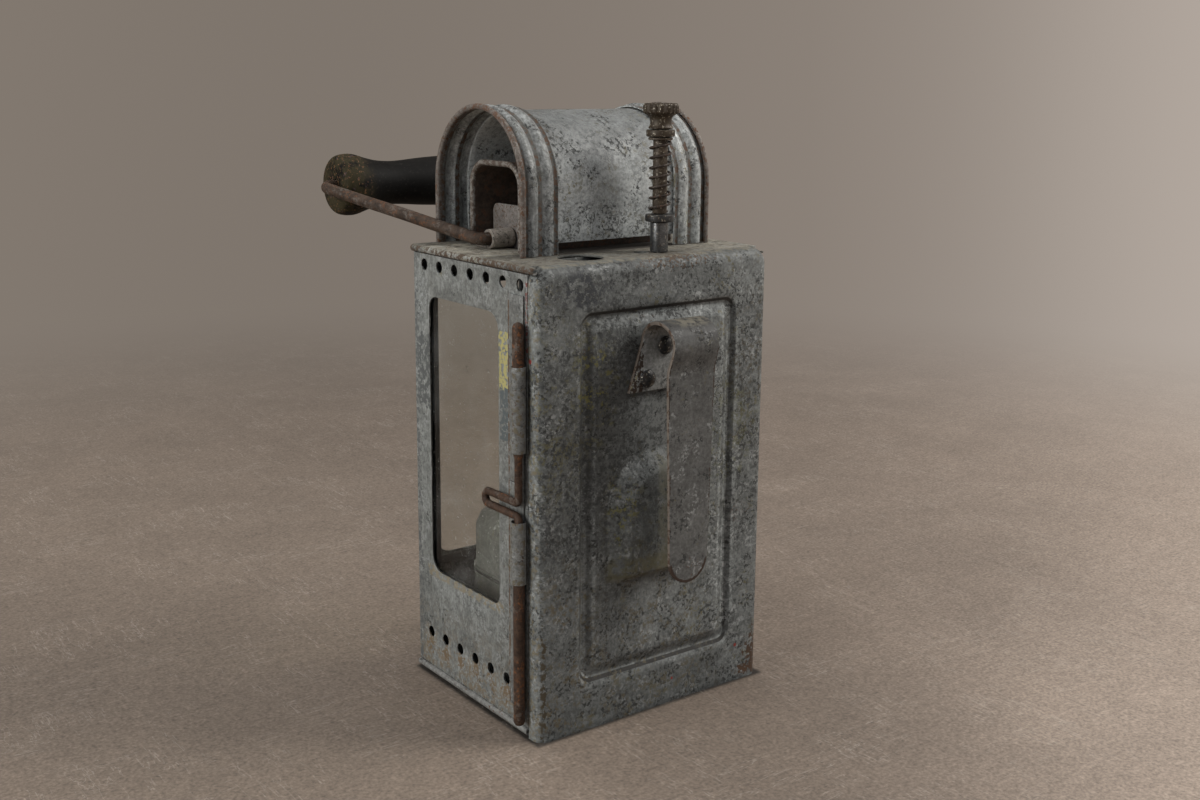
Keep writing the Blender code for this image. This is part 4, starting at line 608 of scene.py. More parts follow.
def back_look():
    """Back wall: mottled and pitted, olive specks to the left, rust in the lower right corner, with painted
    light and shade.
    """
    paint = zinc("back_zinc", (0.133, 0.14, 0.134), 0.6, 0.45, 0.35, 0.2, hollow=True)
    near, box, along, facing, flecks = paint.near, paint.box, paint.along, paint.facing, paint.flecks
    y = BACK_FACE
    # Painted light and shade: lighter to the right and at the top right, the hook's painted shadow on the
    # boss, and painted light low in the middle.
    paint.tones(
        (along("X", 0.035, 0.055), 1.22),
        (near((0.046, y, 0.19), 0.004, 0.02, (1, 1, 1.2)), 1.18),
        (near((-0.018, y, 0.112), 0.012, 0.052, (1, 1, 0.75)), 0.64),
        (near((0.002, y, 0.044), 0.008, 0.034, (1, 1, 1.2)), 1.25),
    )
    # Painted light and shade on the slopes of the pressed frame and the boss, by the way each one faces.
    pressed = box((-0.056, -1, 0.004), (0.056, 1, 0.193), 0.001)
    raised = near((0, y, 0.091), 0.028, 0.036, (1, 1, 0.9))
    tilts = ((UP, 1.35, 1.3), (DOWN, 0.9, 1.0), (LEFT, 1.3, 0.68), (RIGHT, 1.35, 0.75))
    for direction, gentle, steep in tilts:
        steeper = paint.both(pressed, facing(direction, 0.28, 0.42))
        paint.tones(
            ((pressed, facing(direction, 0.05, 0.14), paint.without(steeper)), gentle),
            ((steeper, paint.without(raised)), steep),
        )
    # A painted highlight on the boss's upper and left rim, and painted shade on all faces turned up.
    rim = paint.either(facing(LEFT, 0.03, 0.1), facing(UP, 0.03, 0.1))
    paint.tones(((raised, pressed, rim, along("Z", 0.078, 0.086)), 1.32), (facing(UP, 0.1, 0.6), 0.66))
    paint.layers(
        ((facing(UP, 0.8, 0.95), paint.clouds(0.36, 0.56, 0.003, 4), 0.8), (0.19, 0.17, 0.125), 0.9, 0.0),
        ((flecks(0.0026, 0.5, 0.013, 0.46, 7.1), 0.45), (0.04, 0.043, 0.041), 0.7, 0.1),
    )
    # Painted light on the right of the framed panel, and the hook's painted shadow to its upper left.
    paint.tones(
        (box((0.018, -1, 0.03), (0.043, 1, 0.184), 0.004), 1.35),
        (near((-0.026, y, 0.158), 0.006, 0.024, (1, 1, 0.7)), 0.74),
    )
    worn = near((-0.002, y, 0.128), 0.004, 0.022, (0.8, 1, 0.7))
    worn = paint.both(worn, paint.clouds(0.46, 0.56, 0.0022, 5, 0.7, shift=2.8))
    paint.layer((worn, 0.75), (0.235, 0.245, 0.238), 0.5, 0.25)
    for x, z, radius, weight, shift in (
        (-0.032, 0.128, 0.052, 0.75, 0.1),
        (-0.054, 0.12, 0.055, 0.8, 1.1),
        (-0.008, 0.088, 0.034, 0.5, 2.1),
        (0.056, 0.12, 0.07, 0.7, 3.1),
        (-0.03, 0.19, 0.04, 0.7, 4.1),
    ):
        mark = near((x, y, z), radius * 0.3, radius, (1.6, 1, 0.7))
        specks = flecks(0.0022, 0.51, 0.01, 0.42, shift)
        paint.layer((mark, specks, weight), (0.026, 0.028, 0.028), 0.65, 0.1, -0.00008)
    for x, z, radius, colour, weight, shift in (
        (-0.034, 0.148, 0.022, (0.17, 0.152, 0.034), 0.75, 4.2),
        (-0.056, 0.14, 0.04, (0.125, 0.112, 0.048), 0.6, 5.2),
        (-0.02, 0.092, 0.018, (0.16, 0.144, 0.04), 0.7, 6.2),
        (-0.052, 0.03, 0.046, (0.12, 0.092, 0.046), 0.75, 7.2),
        (0.0, 0.014, 0.064, (0.12, 0.098, 0.056), 0.7, 8.2),
        (0.056, 0.15, 0.04, (0.08, 0.066, 0.042), 0.7, 8.9),
        (0.042, 0.12, 0.03, (0.11, 0.105, 0.03), 0.5, 9.9),
    ):
        mark = near((x, y, z), radius * 0.3, radius, (1.3, 1, 0.7))
        paint.layer((mark, flecks(0.002, 0.53, 0.009, 0.44, shift), weight), colour, 0.8, 0.0)
    pits = flecks(0.0028, 0.49, 0.009, 0.38, 0.4)
    pitted = near((-0.04, y, 0.19), 0.006, 0.022, (1, 1, 1.6))
    paint.layer((pitted, pits, 0.9), (0.038, 0.042, 0.048), 0.6, 0.2, -0.0001)
    seam = near((0.01, y, 0.1985), 0.004, 0.04, (1, 1, 5))
    corner = near((0.061, y, 0.01), 0.002, 0.021, (1.4, 1, 0.8))
    streak = near((0.053, y, 0.0045), 0, 0.013, (1, 1, 2.4))
    low_edge = paint.both(along("X", 0.0585, 0.061), along("Z", 0.085, 0.05))
    for mask, weight, grain, spread, shift, colour, roughness in (
        (seam, 0.5, 0.0014, 1.3, 1.9, (0.08, 0.052, 0.032), 0.85),
        (corner, 0.72, 0.0018, 1.4, 2.5, (0.07, 0.04, 0.023), 0.85),
        (streak, 0.74, 0.0018, 1.2, 6.5, (0.085, 0.046, 0.024), 0.85),
        (low_edge, 0.54, 0.0014, 1.3, 3.5, (0.062, 0.032, 0.018), 0.85),
        (along("X", 0.0575, 0.061), 0.45, 0.0014, 1.3, 4.5, (0.05, 0.043, 0.034), 0.8),
    ):
        paint.stains(((mask, weight), (grain, spread, 0.08, shift), colour, roughness, 0.0))
    low = box((-0.0255, y - 0.01, 0.0655), (0.0275, y + 0.01, 0.0705), 0.004)
    stripe = box((-0.001, y - 0.01, 0.066), (0.006, y + 0.01, 0.115), 0.003)
    marked = near((0.021, y, 0.01), 0.002, 0.013, (0.9, 1, 1.6))
    marks = paint.clouds(0.58, 0.62, 0.0024, 3, 0.6, (1, 1, 0.4), 6.5)
    paint.layers(
        ((low, flecks(0.003, 0.42, 0.008, 0.36, 5.5), 0.7), (0.1, 0.09, 0.044), 0.75, 0.0),
        ((stripe, flecks(0.0025, 0.4, 0.009, 0.34, 6.9), 0.5), (0.17, 0.16, 0.11), 0.7, 0.0),
        ((marked, marks, 0.85), (0.03, 0.034, 0.036), 0.6, 0.1),
        (near((0.0472, y, 0.0174), 0.00066, 0.0011), (0.22, 0.026, 0.02), 0.5, 0.0),
        (near((0.0098, y, 0.0109), 0.00048, 0.0008), (0.22, 0.026, 0.02), 0.5, 0.0),
    )
    # Painted light on the left bend, then ochre stains along it.
    bend = paint.both(along("X", -0.06, -0.0612), facing(LEFT, 0.45, 0.8))
    paint.tone(bend, 1.0, 1.35)
    paint.layer((paint.ragged((bend, 0.46), 0.0026, 1.1, 0.2, 7.5), 0.7), (0.16, 0.128, 0.07), 0.75, 0.0)
    brown = (along("X", -0.057, -0.059), facing(BACK, 0.5, 0.9), along("Z", 0.1, 0.02), 0.6)
    paint.stains((brown, (0.0022, 1.2, 0.1, 8.5), (0.06, 0.046, 0.026), 0.8, 0.0))
    paint.layer(near((-0.062, -0.043, 0.162), 0.0007, 0.0012), (0.24, 0.03, 0.022), 0.5, 0.0)
    return paint.finish()


def deck_look():
    """Deck under settled beige dust, with soot and painted shade below and under the hood, painted light on
    its left end and to the right, rusty along its rolled edges.
    """
    paint = zinc("deck_zinc", (0.145, 0.145, 0.13), 0.35, 0.3, 0.3, 0.3)
    top = paint.facing(UP, 0.5, 0.9)
    # Soot and painted shade on faces turned down; settled dust on faces turned up.
    paint.layers(
        (paint.facing(DOWN, 0.6, 0.9), (0.045, 0.04, 0.034), 0.75, 0.1),
        ((top, paint.clouds(0.3, 0.58, 0.0045, 5, 0.7, shift=4.0), 0.8), (0.145, 0.128, 0.096), 0.9, 0.0),
        ((top, paint.clouds(0.53, 0.64, 0.0026, 4, 0.7, shift=5.0), 0.7), (0.265, 0.242, 0.19), 0.9, 0.0),
        ((top, paint.flecks(0.0022, 0.51, 0.008, 0.42, 3.0), 0.8), (0.052, 0.044, 0.032), 0.9, 0.0),
    )
    # Painted light on the left end under the hood's mouth; the front part is made darker.
    paint.tones(
        (paint.box((-0.06, -0.004, 0.19), (-0.036, 0.035, 0.21), 0.006), 2.2),
        (paint.along("Y", -0.022, -0.03), 0.84),
    )
    valve_foot = paint.near((0.006, -0.033, 0.2), 0.004, 0.026)
    paint.stains(((valve_foot, top, 0.55), (0.003, 1.1, 0.2, 6.0), (0.07, 0.058, 0.042), 0.85, 0.0))
    # Soot and painted shade on the deck under the hood.
    covered = paint.box((-0.034, -0.0185, 0.19), (0.034, 0.046, 0.21), 0.002)
    paint.layer((top, covered, 0.9), (0.024, 0.019, 0.014), 0.9, 0.0)
    # Painted light to the right.
    paint.tone(paint.along("X", 0.015, 0.05), 1.0, 1.6)
    left, right = paint.along("X", -0.0615, -0.0625), paint.along("X", 0.0615, 0.0625)
    rolls = paint.either(paint.both(right, 0.6), left)
    paint.stains(((rolls, 0.55), (0.002, 1.1, 0.1, 7.0), (0.075, 0.05, 0.032), 0.85, 0.0))
    return paint.finish()


def hook_look():
    """Hook: mottled grey, brown at its edges, dusty at the crown, rusty round the tip, with painted light
    and shade.
    """
    paint = zinc("hook_zinc", (0.096, 0.096, 0.091), 0.45, 0.35, 0.25, 0.25)
    along, facing = paint.along, paint.facing
    # Painted light and shade: the foot plate is lightened in the strip's shade, faces turned up are darkened
    # against the top light's sheen, and the lower end is lightened.
    foot = paint.both(along("Y", -0.056, -0.052), facing(BACK, 0.6, 0.9))
    paint.tones((foot, 2.6), (facing(UP, 0.08, 0.5), 0.3), (along("Z", 0.11, 0.08), 1.22))
    across = paint.either(facing(RIGHT, 0.4, 0.7), facing(LEFT, 0.4, 0.7))
    paint.layer((across, 0.9), (0.175, 0.145, 0.118), 0.6, 0.2)
    paint.stains(((across, 0.46), (0.0024, 1.1, 0.1, 1.2), (0.075, 0.043, 0.026), 0.8, 0.1))
    under = paint.both(along("Z", 0.151, 0.153), facing(FRONT, -0.1, 0.4))
    crown = paint.both(facing(UP, 0.75, 0.95), along("X", -0.01, 0.0))
    paint.layers(
        ((under, 0.8), (0.062, 0.046, 0.034), 0.8, 0.1),
        ((crown, paint.clouds(0.4, 0.56, 0.003, 4, 0.65, shift=2.2), 0.7), (0.165, 0.148, 0.11), 0.8, 0.0),
    )
    tip = paint.near((HOOK_X, 0, HOOK_TIP + HOOK_TIP_WIDTH / 2), 0.0083, 0.0095, (1, 0, 1))
    low = paint.both(paint.without(tip), along("Z", 0.075, 0.071))
    paint.stains(((low, 0.85), (0.0018, 0.8, 0.1, 3.2), (0.042, 0.024, 0.015), 0.85, 0.0))
    for low_z, high_z, half in ((0.112, 0.165, 0.0109), (0.07, 0.112, 0.0098)):
        sides = paint.without(paint.near((HOOK_X, 0, 0), half, half + 0.0011, (1, 0, 0)))
        sides = paint.both(sides, facing(BACK, 0.5, 0.9), paint.box((-1, -1, low_z), (1, 1, high_z), 0.001))
        paint.stains(((sides, 0.62), (0.0016, 1.0, 0.1, 4.2), (0.042, 0.027, 0.018), 0.8, 0.0))
    return paint.finish()


def duct_look():
    """Brown heat scale with a lighter rim at each mouth."""
    paint = Paint("duct_scale", (0.062, 0.042, 0.03), 0.75, 0.1)
    paint.mottle(0.005, 0.5, 1.6)
    paint.mottle(0.0013, 0.6, 1.4, 4, 0.7, 2.0)
    paint.bumps(0.00008, 0.0009, 3)
    rims = paint.ends(DUCT_LENGTH / 2, 0.0022, 0.0014)
    paint.layers(
        ((paint.flecks(0.0024, 0.52, 0.009, 0.45, 0.9), 0.7), (0.11, 0.052, 0.028), 0.85, 0.0),
        ((rims, 0.85), (0.08, 0.058, 0.043), 0.7, 0.1),
    )
    paint.stains(((rims, 0.52), (0.002, 1.1, 0.1, 3.9), (0.2, 0.185, 0.165), 0.6, 0.2))
    return paint.finish()


def hood_look():
    """The hood's pitted middle sheet, with painted light and shade."""
    paint = zinc("hood_zinc", (0.235, 0.246, 0.24), 0.5, 0.8, 0.25, 0.05)
    # Painted light and shade: faces turned up darker, the sides lighter.
    paint.tone(paint.facing(UP, 0.0, 0.6), 1.46, 0.62)
    low = paint.both(paint.facing(BACK, 0.1, 0.9), paint.along("Z", 0.226, 0.212))
    paint.layers(
        ((low, paint.flecks(0.0012, 0.52, 0.008, 0.44, 7.3), 0.8), (0.04, 0.042, 0.038), 0.7, 0.1, -0.0001),
        ((low, paint.flecks(0.0014, 0.52, 0.01, 0.48, 9.3), 0.6), (0.4, 0.41, 0.4), 0.5, 0.2),
    )
    # A darker patch left of the middle and a painted highlight right of it.
    paint.tones(
        (paint.near((-0.004, -0.014, 0.222), 0.004, 0.014, (1, 0.6, 0.6)), 0.62),
        (paint.near((0.016, -0.014, 0.228), 0.002, 0.018, (1, 0.6, 0.5)), 1.22),
    )
    paint.layer((paint.flecks(0.003, 0.54, 0.016, 0.52, 8.3), 0.6), (0.12, 0.106, 0.062), 0.7, 0.0)
    # Painted light inside the hood.
    paint.tone(paint.inside(*HOOD_AXIS), 1.0, 1.7)
    return paint.finish()


def collar_look():
    """The hood's collars, with rust in their grooves and on their rims, painted light inside and a painted
    highlight on the right one.
    """
    paint = zinc("collar_zinc", (0.2, 0.206, 0.198), 0.45, 0.65, 0.35, 0.25)
    # Painted light inside the collars, and a painted highlight on the right collar's faces turned to -Y.
    paint.tones(
        (paint.inside(*HOOD_AXIS), 1.7),
        ((paint.along("X", -0.01, 0.01), paint.facing(BACK, 0.2, 0.8)), 1.62),
    )
    paint.mottle(0.0012, 0.55, 1.45, 4, 0.7, 3.7, (1, 0.3, 0.3))
    half = HOOD_LENGTH / 2
    for share in GROOVE_SHARES:
        for side in (-1, 1):
            place = side * (half - COLLAR_LENGTH * share)
            groove = paint.box((place - 0.0007, -1, 0), (place + 0.0007, 1, 1), 0.0008)
            paint.layer((groove, 0.75), (0.042, 0.038, 0.03), 0.8, 0.1)
            torn = (0.0022, 1.2, 0.12, share * 9 + side)
            paint.stains(((groove, 0.5), torn, (0.085, 0.048, 0.028), 0.8, 0.0))
    rims = paint.ends(half, 0.0028, 0.002)
    paint.layer((rims, 0.8), (0.08, 0.053, 0.037), 0.75, 0.1)
    paint.stains(
        ((rims, 0.48), (0.0018, 1.2, 0.12, 2.4), (0.175, 0.155, 0.135), 0.6, 0.3),
        ((rims, 0.42), (0.0022, 1.2, 0.12, 5.4), (0.1, 0.048, 0.024), 0.8, 0.0),
    )
    return paint.finish()


def pan_look():
    """Base pan, black with soot and painted shade inside."""
    paint = zinc("pan_zinc", (0.17, 0.168, 0.155), 0.3, 0.3, 0.3, 0.5)
    # Soot on the pan's floor, darkened further as painted shade.
    floor = paint.both(paint.facing(UP, 0.6, 0.9), paint.box((-0.06, -1, -1), (0.06, 1, 1), 0.001))
    paint.layer(floor, (0.024, 0.022, 0.019), 0.8, 0.1)
    return paint.finish()


def bracket_look():
    """Straps of the bail, pale with painted shade on the rolled end."""
    paint = zinc("bracket_zinc", (0.365, 0.32, 0.27), 0.3, 0.3, 0.3, 0.4)
    # Painted shade on the end of the roll that faces -X.
    paint.tone((paint.facing(LEFT, 0.4, 0.8), paint.along("Z", 0.2098, 0.2088)), 1.0, 0.4)
    return paint.finish()


def make_looks():
    """All the materials, by the name that the pieces use."""
    return {
        "side": door_look(),
        "guide": guide_look(),
        "back": back_look(),
        "deck": deck_look(),
        "hook": hook_look(),
        "hood": hood_look(),
        "collar": collar_look(),
        "pan": pan_look(),
        "bracket": bracket_look(),
        "baffle": zinc("baffle_zinc", (0.136, 0.122, 0.11), 0.2, 0.2, 0.1, 0.8).finish(),
        "pot": zinc("pot_zinc", (0.085, 0.086, 0.08), 0.1, 0.2, 0.2, 0.1).finish(),
        "rust": rusty("rusty_iron", (0.046, 0.029, 0.019), 0.5, 0.5),
        "bolt": rusty("bolt_iron", (0.05, 0.028, 0.017), 0.8, 0.5),
        "spring": rusty("spring_wire", (0.036, 0.026, 0.02), 0.25, 0.35),
        "duct": duct_look(),
        # Near-black sheet for the window frames: soot, and painted shade where they sit in the dark inside.
        "soot_and_shade": plain("sooty_sheet", (0.014, 0.013, 0.012), 0.65, 0.2, 0.004, 0.00004, 0.001),
        "knob": steel("brown_brass", (0.042, 0.031, 0.018), 0.5, 0.4, 0.75),
        "stem": steel("brown_steel", (0.075, 0.056, 0.038), 0.42, 0.4, 0.8),
        "cap": steel("grey_steel", (0.034, 0.034, 0.034), 0.45, 0.5, 0.3),
        "tube": steel("bright_steel", (0.108, 0.111, 0.113), 0.32, 0.8, 0.15),
        "reflector": steel("dull_plating", (0.42, 0.41, 0.38), 0.3, 0.9, 0.3),
        "brass": steel("dull_brass", (0.3, 0.21, 0.08), 0.4, 0.9, 0.4),
        "grip": grip_wood("worn_grip"),
        "glass": glass("pane_glass"),
        "ceramic": steatite("steatite"),
        "rubber": plain("seal_rubber", (0.02, 0.02, 0.02), 0.7, 0.0, 0.003, 0.00003, 0.0006),
    }


def smooth(mesh, sharp_deg=38):
    mesh.shade_smooth()
    mesh.set_sharp_from_angle(angle=math.radians(sharp_deg))


def baked(name, bm, thickness=0.0, bevel=0.0, sharp_deg=38):
    """A finished mesh: sheet thickness half to each side, then softened edges."""
    bmesh.ops.recalc_face_normals(bm, faces=bm.faces)
    data = bpy.data.meshes.new(name)
    bm.to_mesh(data)
    bm.free()
    holder = bpy.data.objects.new(name + "_holder", data)
    bpy.context.scene.collection.objects.link(holder)
    if thickness:
        shell = holder.modifiers.new("sheet", "SOLIDIFY")
        shell.thickness = thickness
        shell.offset = 0
        shell.use_even_offset = True
    if bevel:
        soft = holder.modifiers.new("soft", "BEVEL")
        soft.width = bevel
        soft.segments = 2
        soft.limit_method = "ANGLE"
        soft.angle_limit = math.radians(50)
    graph = bpy.context.evaluated_depsgraph_get()
    final = bpy.data.meshes.new_from_object(holder.evaluated_get(graph))
    bpy.data.objects.remove(holder, do_unlink=True)
    final.name = name
    smooth(final, sharp_deg)
    return final


def piece(name, mesh, look, body, slot_name, *replaced):
    """A visible piece with its look, riding on a body in place of CAD nodes."""
    made = bpy.data.objects.new(name, mesh)
    bpy.context.scene.collection.objects.link(made)
    mesh.materials.clear()
    mesh.materials.append(look)
    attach(made, body)
    if replaced:
        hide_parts(*replaced)
    return made


def grid(rows, closed=False, fan=None, onto=None):
    """A surface through rows of as many points, with an optional centre point after the last row."""
    bm = onto or bmesh.new()
    lines = [[bm.verts.new(point) for point in points] for points in rows]
    for first, second in zip(lines, lines[1:]):
        count = len(first)
        for i in range(count if closed else count - 1):
            j = (i + 1) % count
            bm.faces.new((first[i], first[j], second[j], second[i]))
    if fan:
        tip = bm.verts.new(fan)
        last = lines[-1]
        for i, vertex in enumerate(last):
            bm.faces.new((vertex, last[(i + 1) % len(last)], tip))
    return bm


def arc(centre, radius, start, sweep, steps):
    """Points of a plane arc, angles in degrees."""
    turns = [math.radians(start + sweep * i / steps) for i in range(steps + 1)]
    return [(centre[0] + radius * math.cos(t), centre[1] + radius * math.sin(t)) for t in turns]


def rounded(points, radius, steps=10):
    """A path with its corners rounded to one radius."""
    points = [Vector(point) for point in points]
    path = [points[0]]
    for before, corner, after in zip(points, points[1:], points[2:]):
        inward = (before - corner).normalized()
        outward = (after - corner).normalized()
        half = inward.angle(outward) / 2
        centre = corner + (inward + outward).normalized() * (radius / math.sin(half))
        start = corner + inward * (radius / math.tan(half)) - centre
        end = corner + outward * (radius / math.tan(half)) - centre
        turn = start.angle(end)
        for i in range(steps + 1):
            share = i / steps
            first = math.sin(turn * (1 - share)) / math.sin(turn)
            second = math.sin(turn * share) / math.sin(turn)
            path.append(centre + start * first + end * second)
    path.append(points[-1])
    return path


def rod(name, path, radius, radii=None, sides=20, domed=0.35):
    """A round bar along a path with slightly domed ends; radii are shares of the radius."""
    path = [Vector(point) for point in path]
    shares = list(radii) if radii else [1.0] * len(path)
    start_dir = (path[0] - path[1]).normalized()
    end_dir = (path[-1] - path[-2]).normalized()
    for reach_share, narrow_share in ((0.7, 0.8), (0.3, 0.5)):
        path.insert(0, path[0] + start_dir * radius * domed * reach_share)
        path.append(path[-1] + end_dir * radius * domed * reach_share)
        shares.insert(0, shares[0] * narrow_share)
        shares.append(shares[-1] * narrow_share)
    side = Vector((0, 0, 1)).cross(start_dir)
    if side.length < 0.1:
        side = Vector((1, 0, 0)).cross(start_dir)
    side.normalize()
    rows = []
    for i, point in enumerate(path):
        ahead = path[min(i + 1, len(path) - 1)] - path[max(i - 1, 0)]
        ahead.normalize()
        side = (side - ahead * side.dot(ahead)).normalized()
        up = ahead.cross(side)
        around = arc((0, 0), radius * shares[i], 0, 360, sides)[:-1]
        rows.append([point + side * x + up * y for x, y in around])
    bm = grid(rows, closed=True)
    bm.verts.ensure_lookup_table()
    bm.faces.new([bm.verts[i] for i in range(sides)])
    bm.faces.new([bm.verts[len(bm.verts) - sides + i] for i in range(sides)])
    return baked(name, bm)


def lathe(name, profile, steps=FINE_STEPS, place=(0, 0, 0), shape=None, sharp_deg=30):
    """A turned piece from a closed profile of radii and heights; shape changes each radius by angle."""
    rows = []
    for radius, height in profile:
        ring = []
        for i in range(steps):
            angle = 2 * math.pi * i / steps
            reach = shape(radius, angle) if shape else radius
            ring.append((reach * math.cos(angle), reach * math.sin(angle), height))
        rows.append(ring)
    bm = grid(rows + [rows[0]], closed=True)
    bmesh.ops.remove_doubles(bm, verts=bm.verts, dist=WELD)
    bmesh.ops.translate(bm, verts=bm.verts, vec=place)
    return baked(name, bm, sharp_deg=sharp_deg)


def chamfered(profile, size, steps=3):
    """A closed profile with its corners rounded."""
    count = len(profile)
    result = []
    for i in range(count):
        before, here, after = (Vector(profile[(i + k - 1) % count]) for k in range(3))
        if here.x < 1e-6:
            result.append(tuple(here))
            continue
        reach = min(size, (before - here).length * 0.45, (after - here).length * 0.45)
        start = here + (before - here).normalized() * reach
        end = here + (after - here).normalized() * reach
        for k in range(steps + 1):
            t = k / steps
            point = start * (1 - t) ** 2 + here * 2 * t * (1 - t) + end * t**2
            result.append(tuple(point))
    return result


def dent(point, size, depth):
    """A smooth wave of old sheet metal."""
    return depth * noise.noise(Vector(point) / size)


def outline(half_width, low, high, low_corner, high_corner, shift=0.0):
    """Closed upright outline, clockwise from its lower left corner, with as many points each time."""
    corners = (
        (-half_width + low_corner, low + low_corner, low_corner, 270),
        (-half_width + high_corner, high - high_corner, high_corner, 180),
        (half_width - high_corner, high - high_corner, high_corner, 90),
        (half_width - low_corner, low + low_corner, low_corner, 0),
    )
    arcs = [arc((x + shift, z), radius, start, -90, CORNER_COUNT) for x, z, radius, start in corners]
    points = []
    for i, curve in enumerate(arcs):
        points += curve
        start, end = Vector(curve[-1]), Vector(arcs[(i + 1) % len(arcs)][0])
        points += [tuple(start.lerp(end, step / SIDE_COUNT)) for step in range(1, SIDE_COUNT)]
    return points


def eased(share):
    return share * share * (3 - 2 * share)


def back_wall(look):
    """Back wall with bends, a pressed frame, a raised arched boss and the waves of old sheet."""
    half = CASE_WIDTH / 2 - HALF_SHEET
    top = CASE_HEIGHT - HALF_SHEET
    bend = BEND - HALF_SHEET
    bead_half = (BEAD_RIGHT - BEAD_LEFT) / 2
    bead_shift = (BEAD_RIGHT + BEAD_LEFT) / 2

    def wave(x, z):
        edge = min((half - bend - abs(x)) / BEND, (top - bend - z) / BEND, 1)
        return dent((x, 0, z), *WALL_WAVE) * max(edge, 0)

    def bead(inset_share):
        inset = BEAD_WIDTH * inset_share
        corner = BEAD_CORNER * (1 - 0.6 * inset_share)
        return outline(bead_half - inset, BEAD_LOW + inset, BEAD_HIGH - inset, corner, corner, bead_shift)

    def bead_depth(share):
        if share < 0.32:
            return eased(share / 0.32)
        return 1 - eased(min((share - 0.36) / 0.64, 1)) if share > 0.36 else 1

    def boss(share):
        rim, lip = BOSS_RIM * share, BOSS_LIP * share
        corner = BOSS_CORNER * (1 - 0.5 * share)
        half_width = BOSS_HALF_WIDTH - rim
        return outline(half_width, BOSS_LOW + lip, BOSS_HIGH - rim, corner, half_width * BOSS_ARCH_SHARE)

    flat = outline(half - bend, 0, top - bend, SQUARE_CORNER, TOP_CORNER)
    levels = [(flat, 0.0)]
    levels += [(mixed(flat, bead(0), i / 6), 0.0) for i in range(1, 6)]
    levels += [(bead(i / 14), bead_depth(i / 14) * BEAD_DEPTH) for i in range(15)]
    levels += [(mixed(bead(1), boss(0), i / 12), 0.0) for i in range(1, 12)]
    levels += [(boss(i / 12), -eased(i / 12) * BOSS_RISE) for i in range(13)]
    middle = [(0, (BOSS_LOW + BOSS_HIGH) / 2)] * len(flat)
    levels += [(mixed(boss(1), middle, share), -BOSS_RISE * 1.04) for share in (0.3, 0.6)]
    rows = [[(x, BACK_Y + depth + wave(x, z), z) for x, z in points] for points, depth in levels]
    x, z = middle[0]
    bm = grid(rows, closed=True, fan=(x, BACK_Y - BOSS_RISE * 1.05 + wave(x, z), z))
    bm.verts.ensure_lookup_table()
    open_count = len(flat) - SIDE_COUNT + 1
    before = [bm.verts[i] for i in range(open_count)]
    steps = 8
    for step in range(1, steps + 3):
        angle = math.radians(90) * min(step, steps) / steps
        grow = bend * math.sin(angle)
        y = BACK_Y + bend * (1 - math.cos(angle)) + BACK_FLANGE * max(step - steps, 0) / 2
        around = outline(half - bend + grow, 0, top - bend + grow, SQUARE_CORNER, TOP_CORNER + grow)
        after = [bm.verts.new((x, y, z)) for x, z in around[:open_count]]
        for i in range(open_count - 1):
            bm.faces.new((before[i], before[i + 1], after[i + 1], after[i]))
        before = after
    mesh = baked("back_wall", bm, SHEET, BEVEL)
    piece("back_wall", mesh, look, "casing", "galvanised_sheet", "back_shell")


def mixed(first, second, share):
    return [tuple(Vector(a).lerp(Vector(b), share)) for a, b in zip(first, second)]


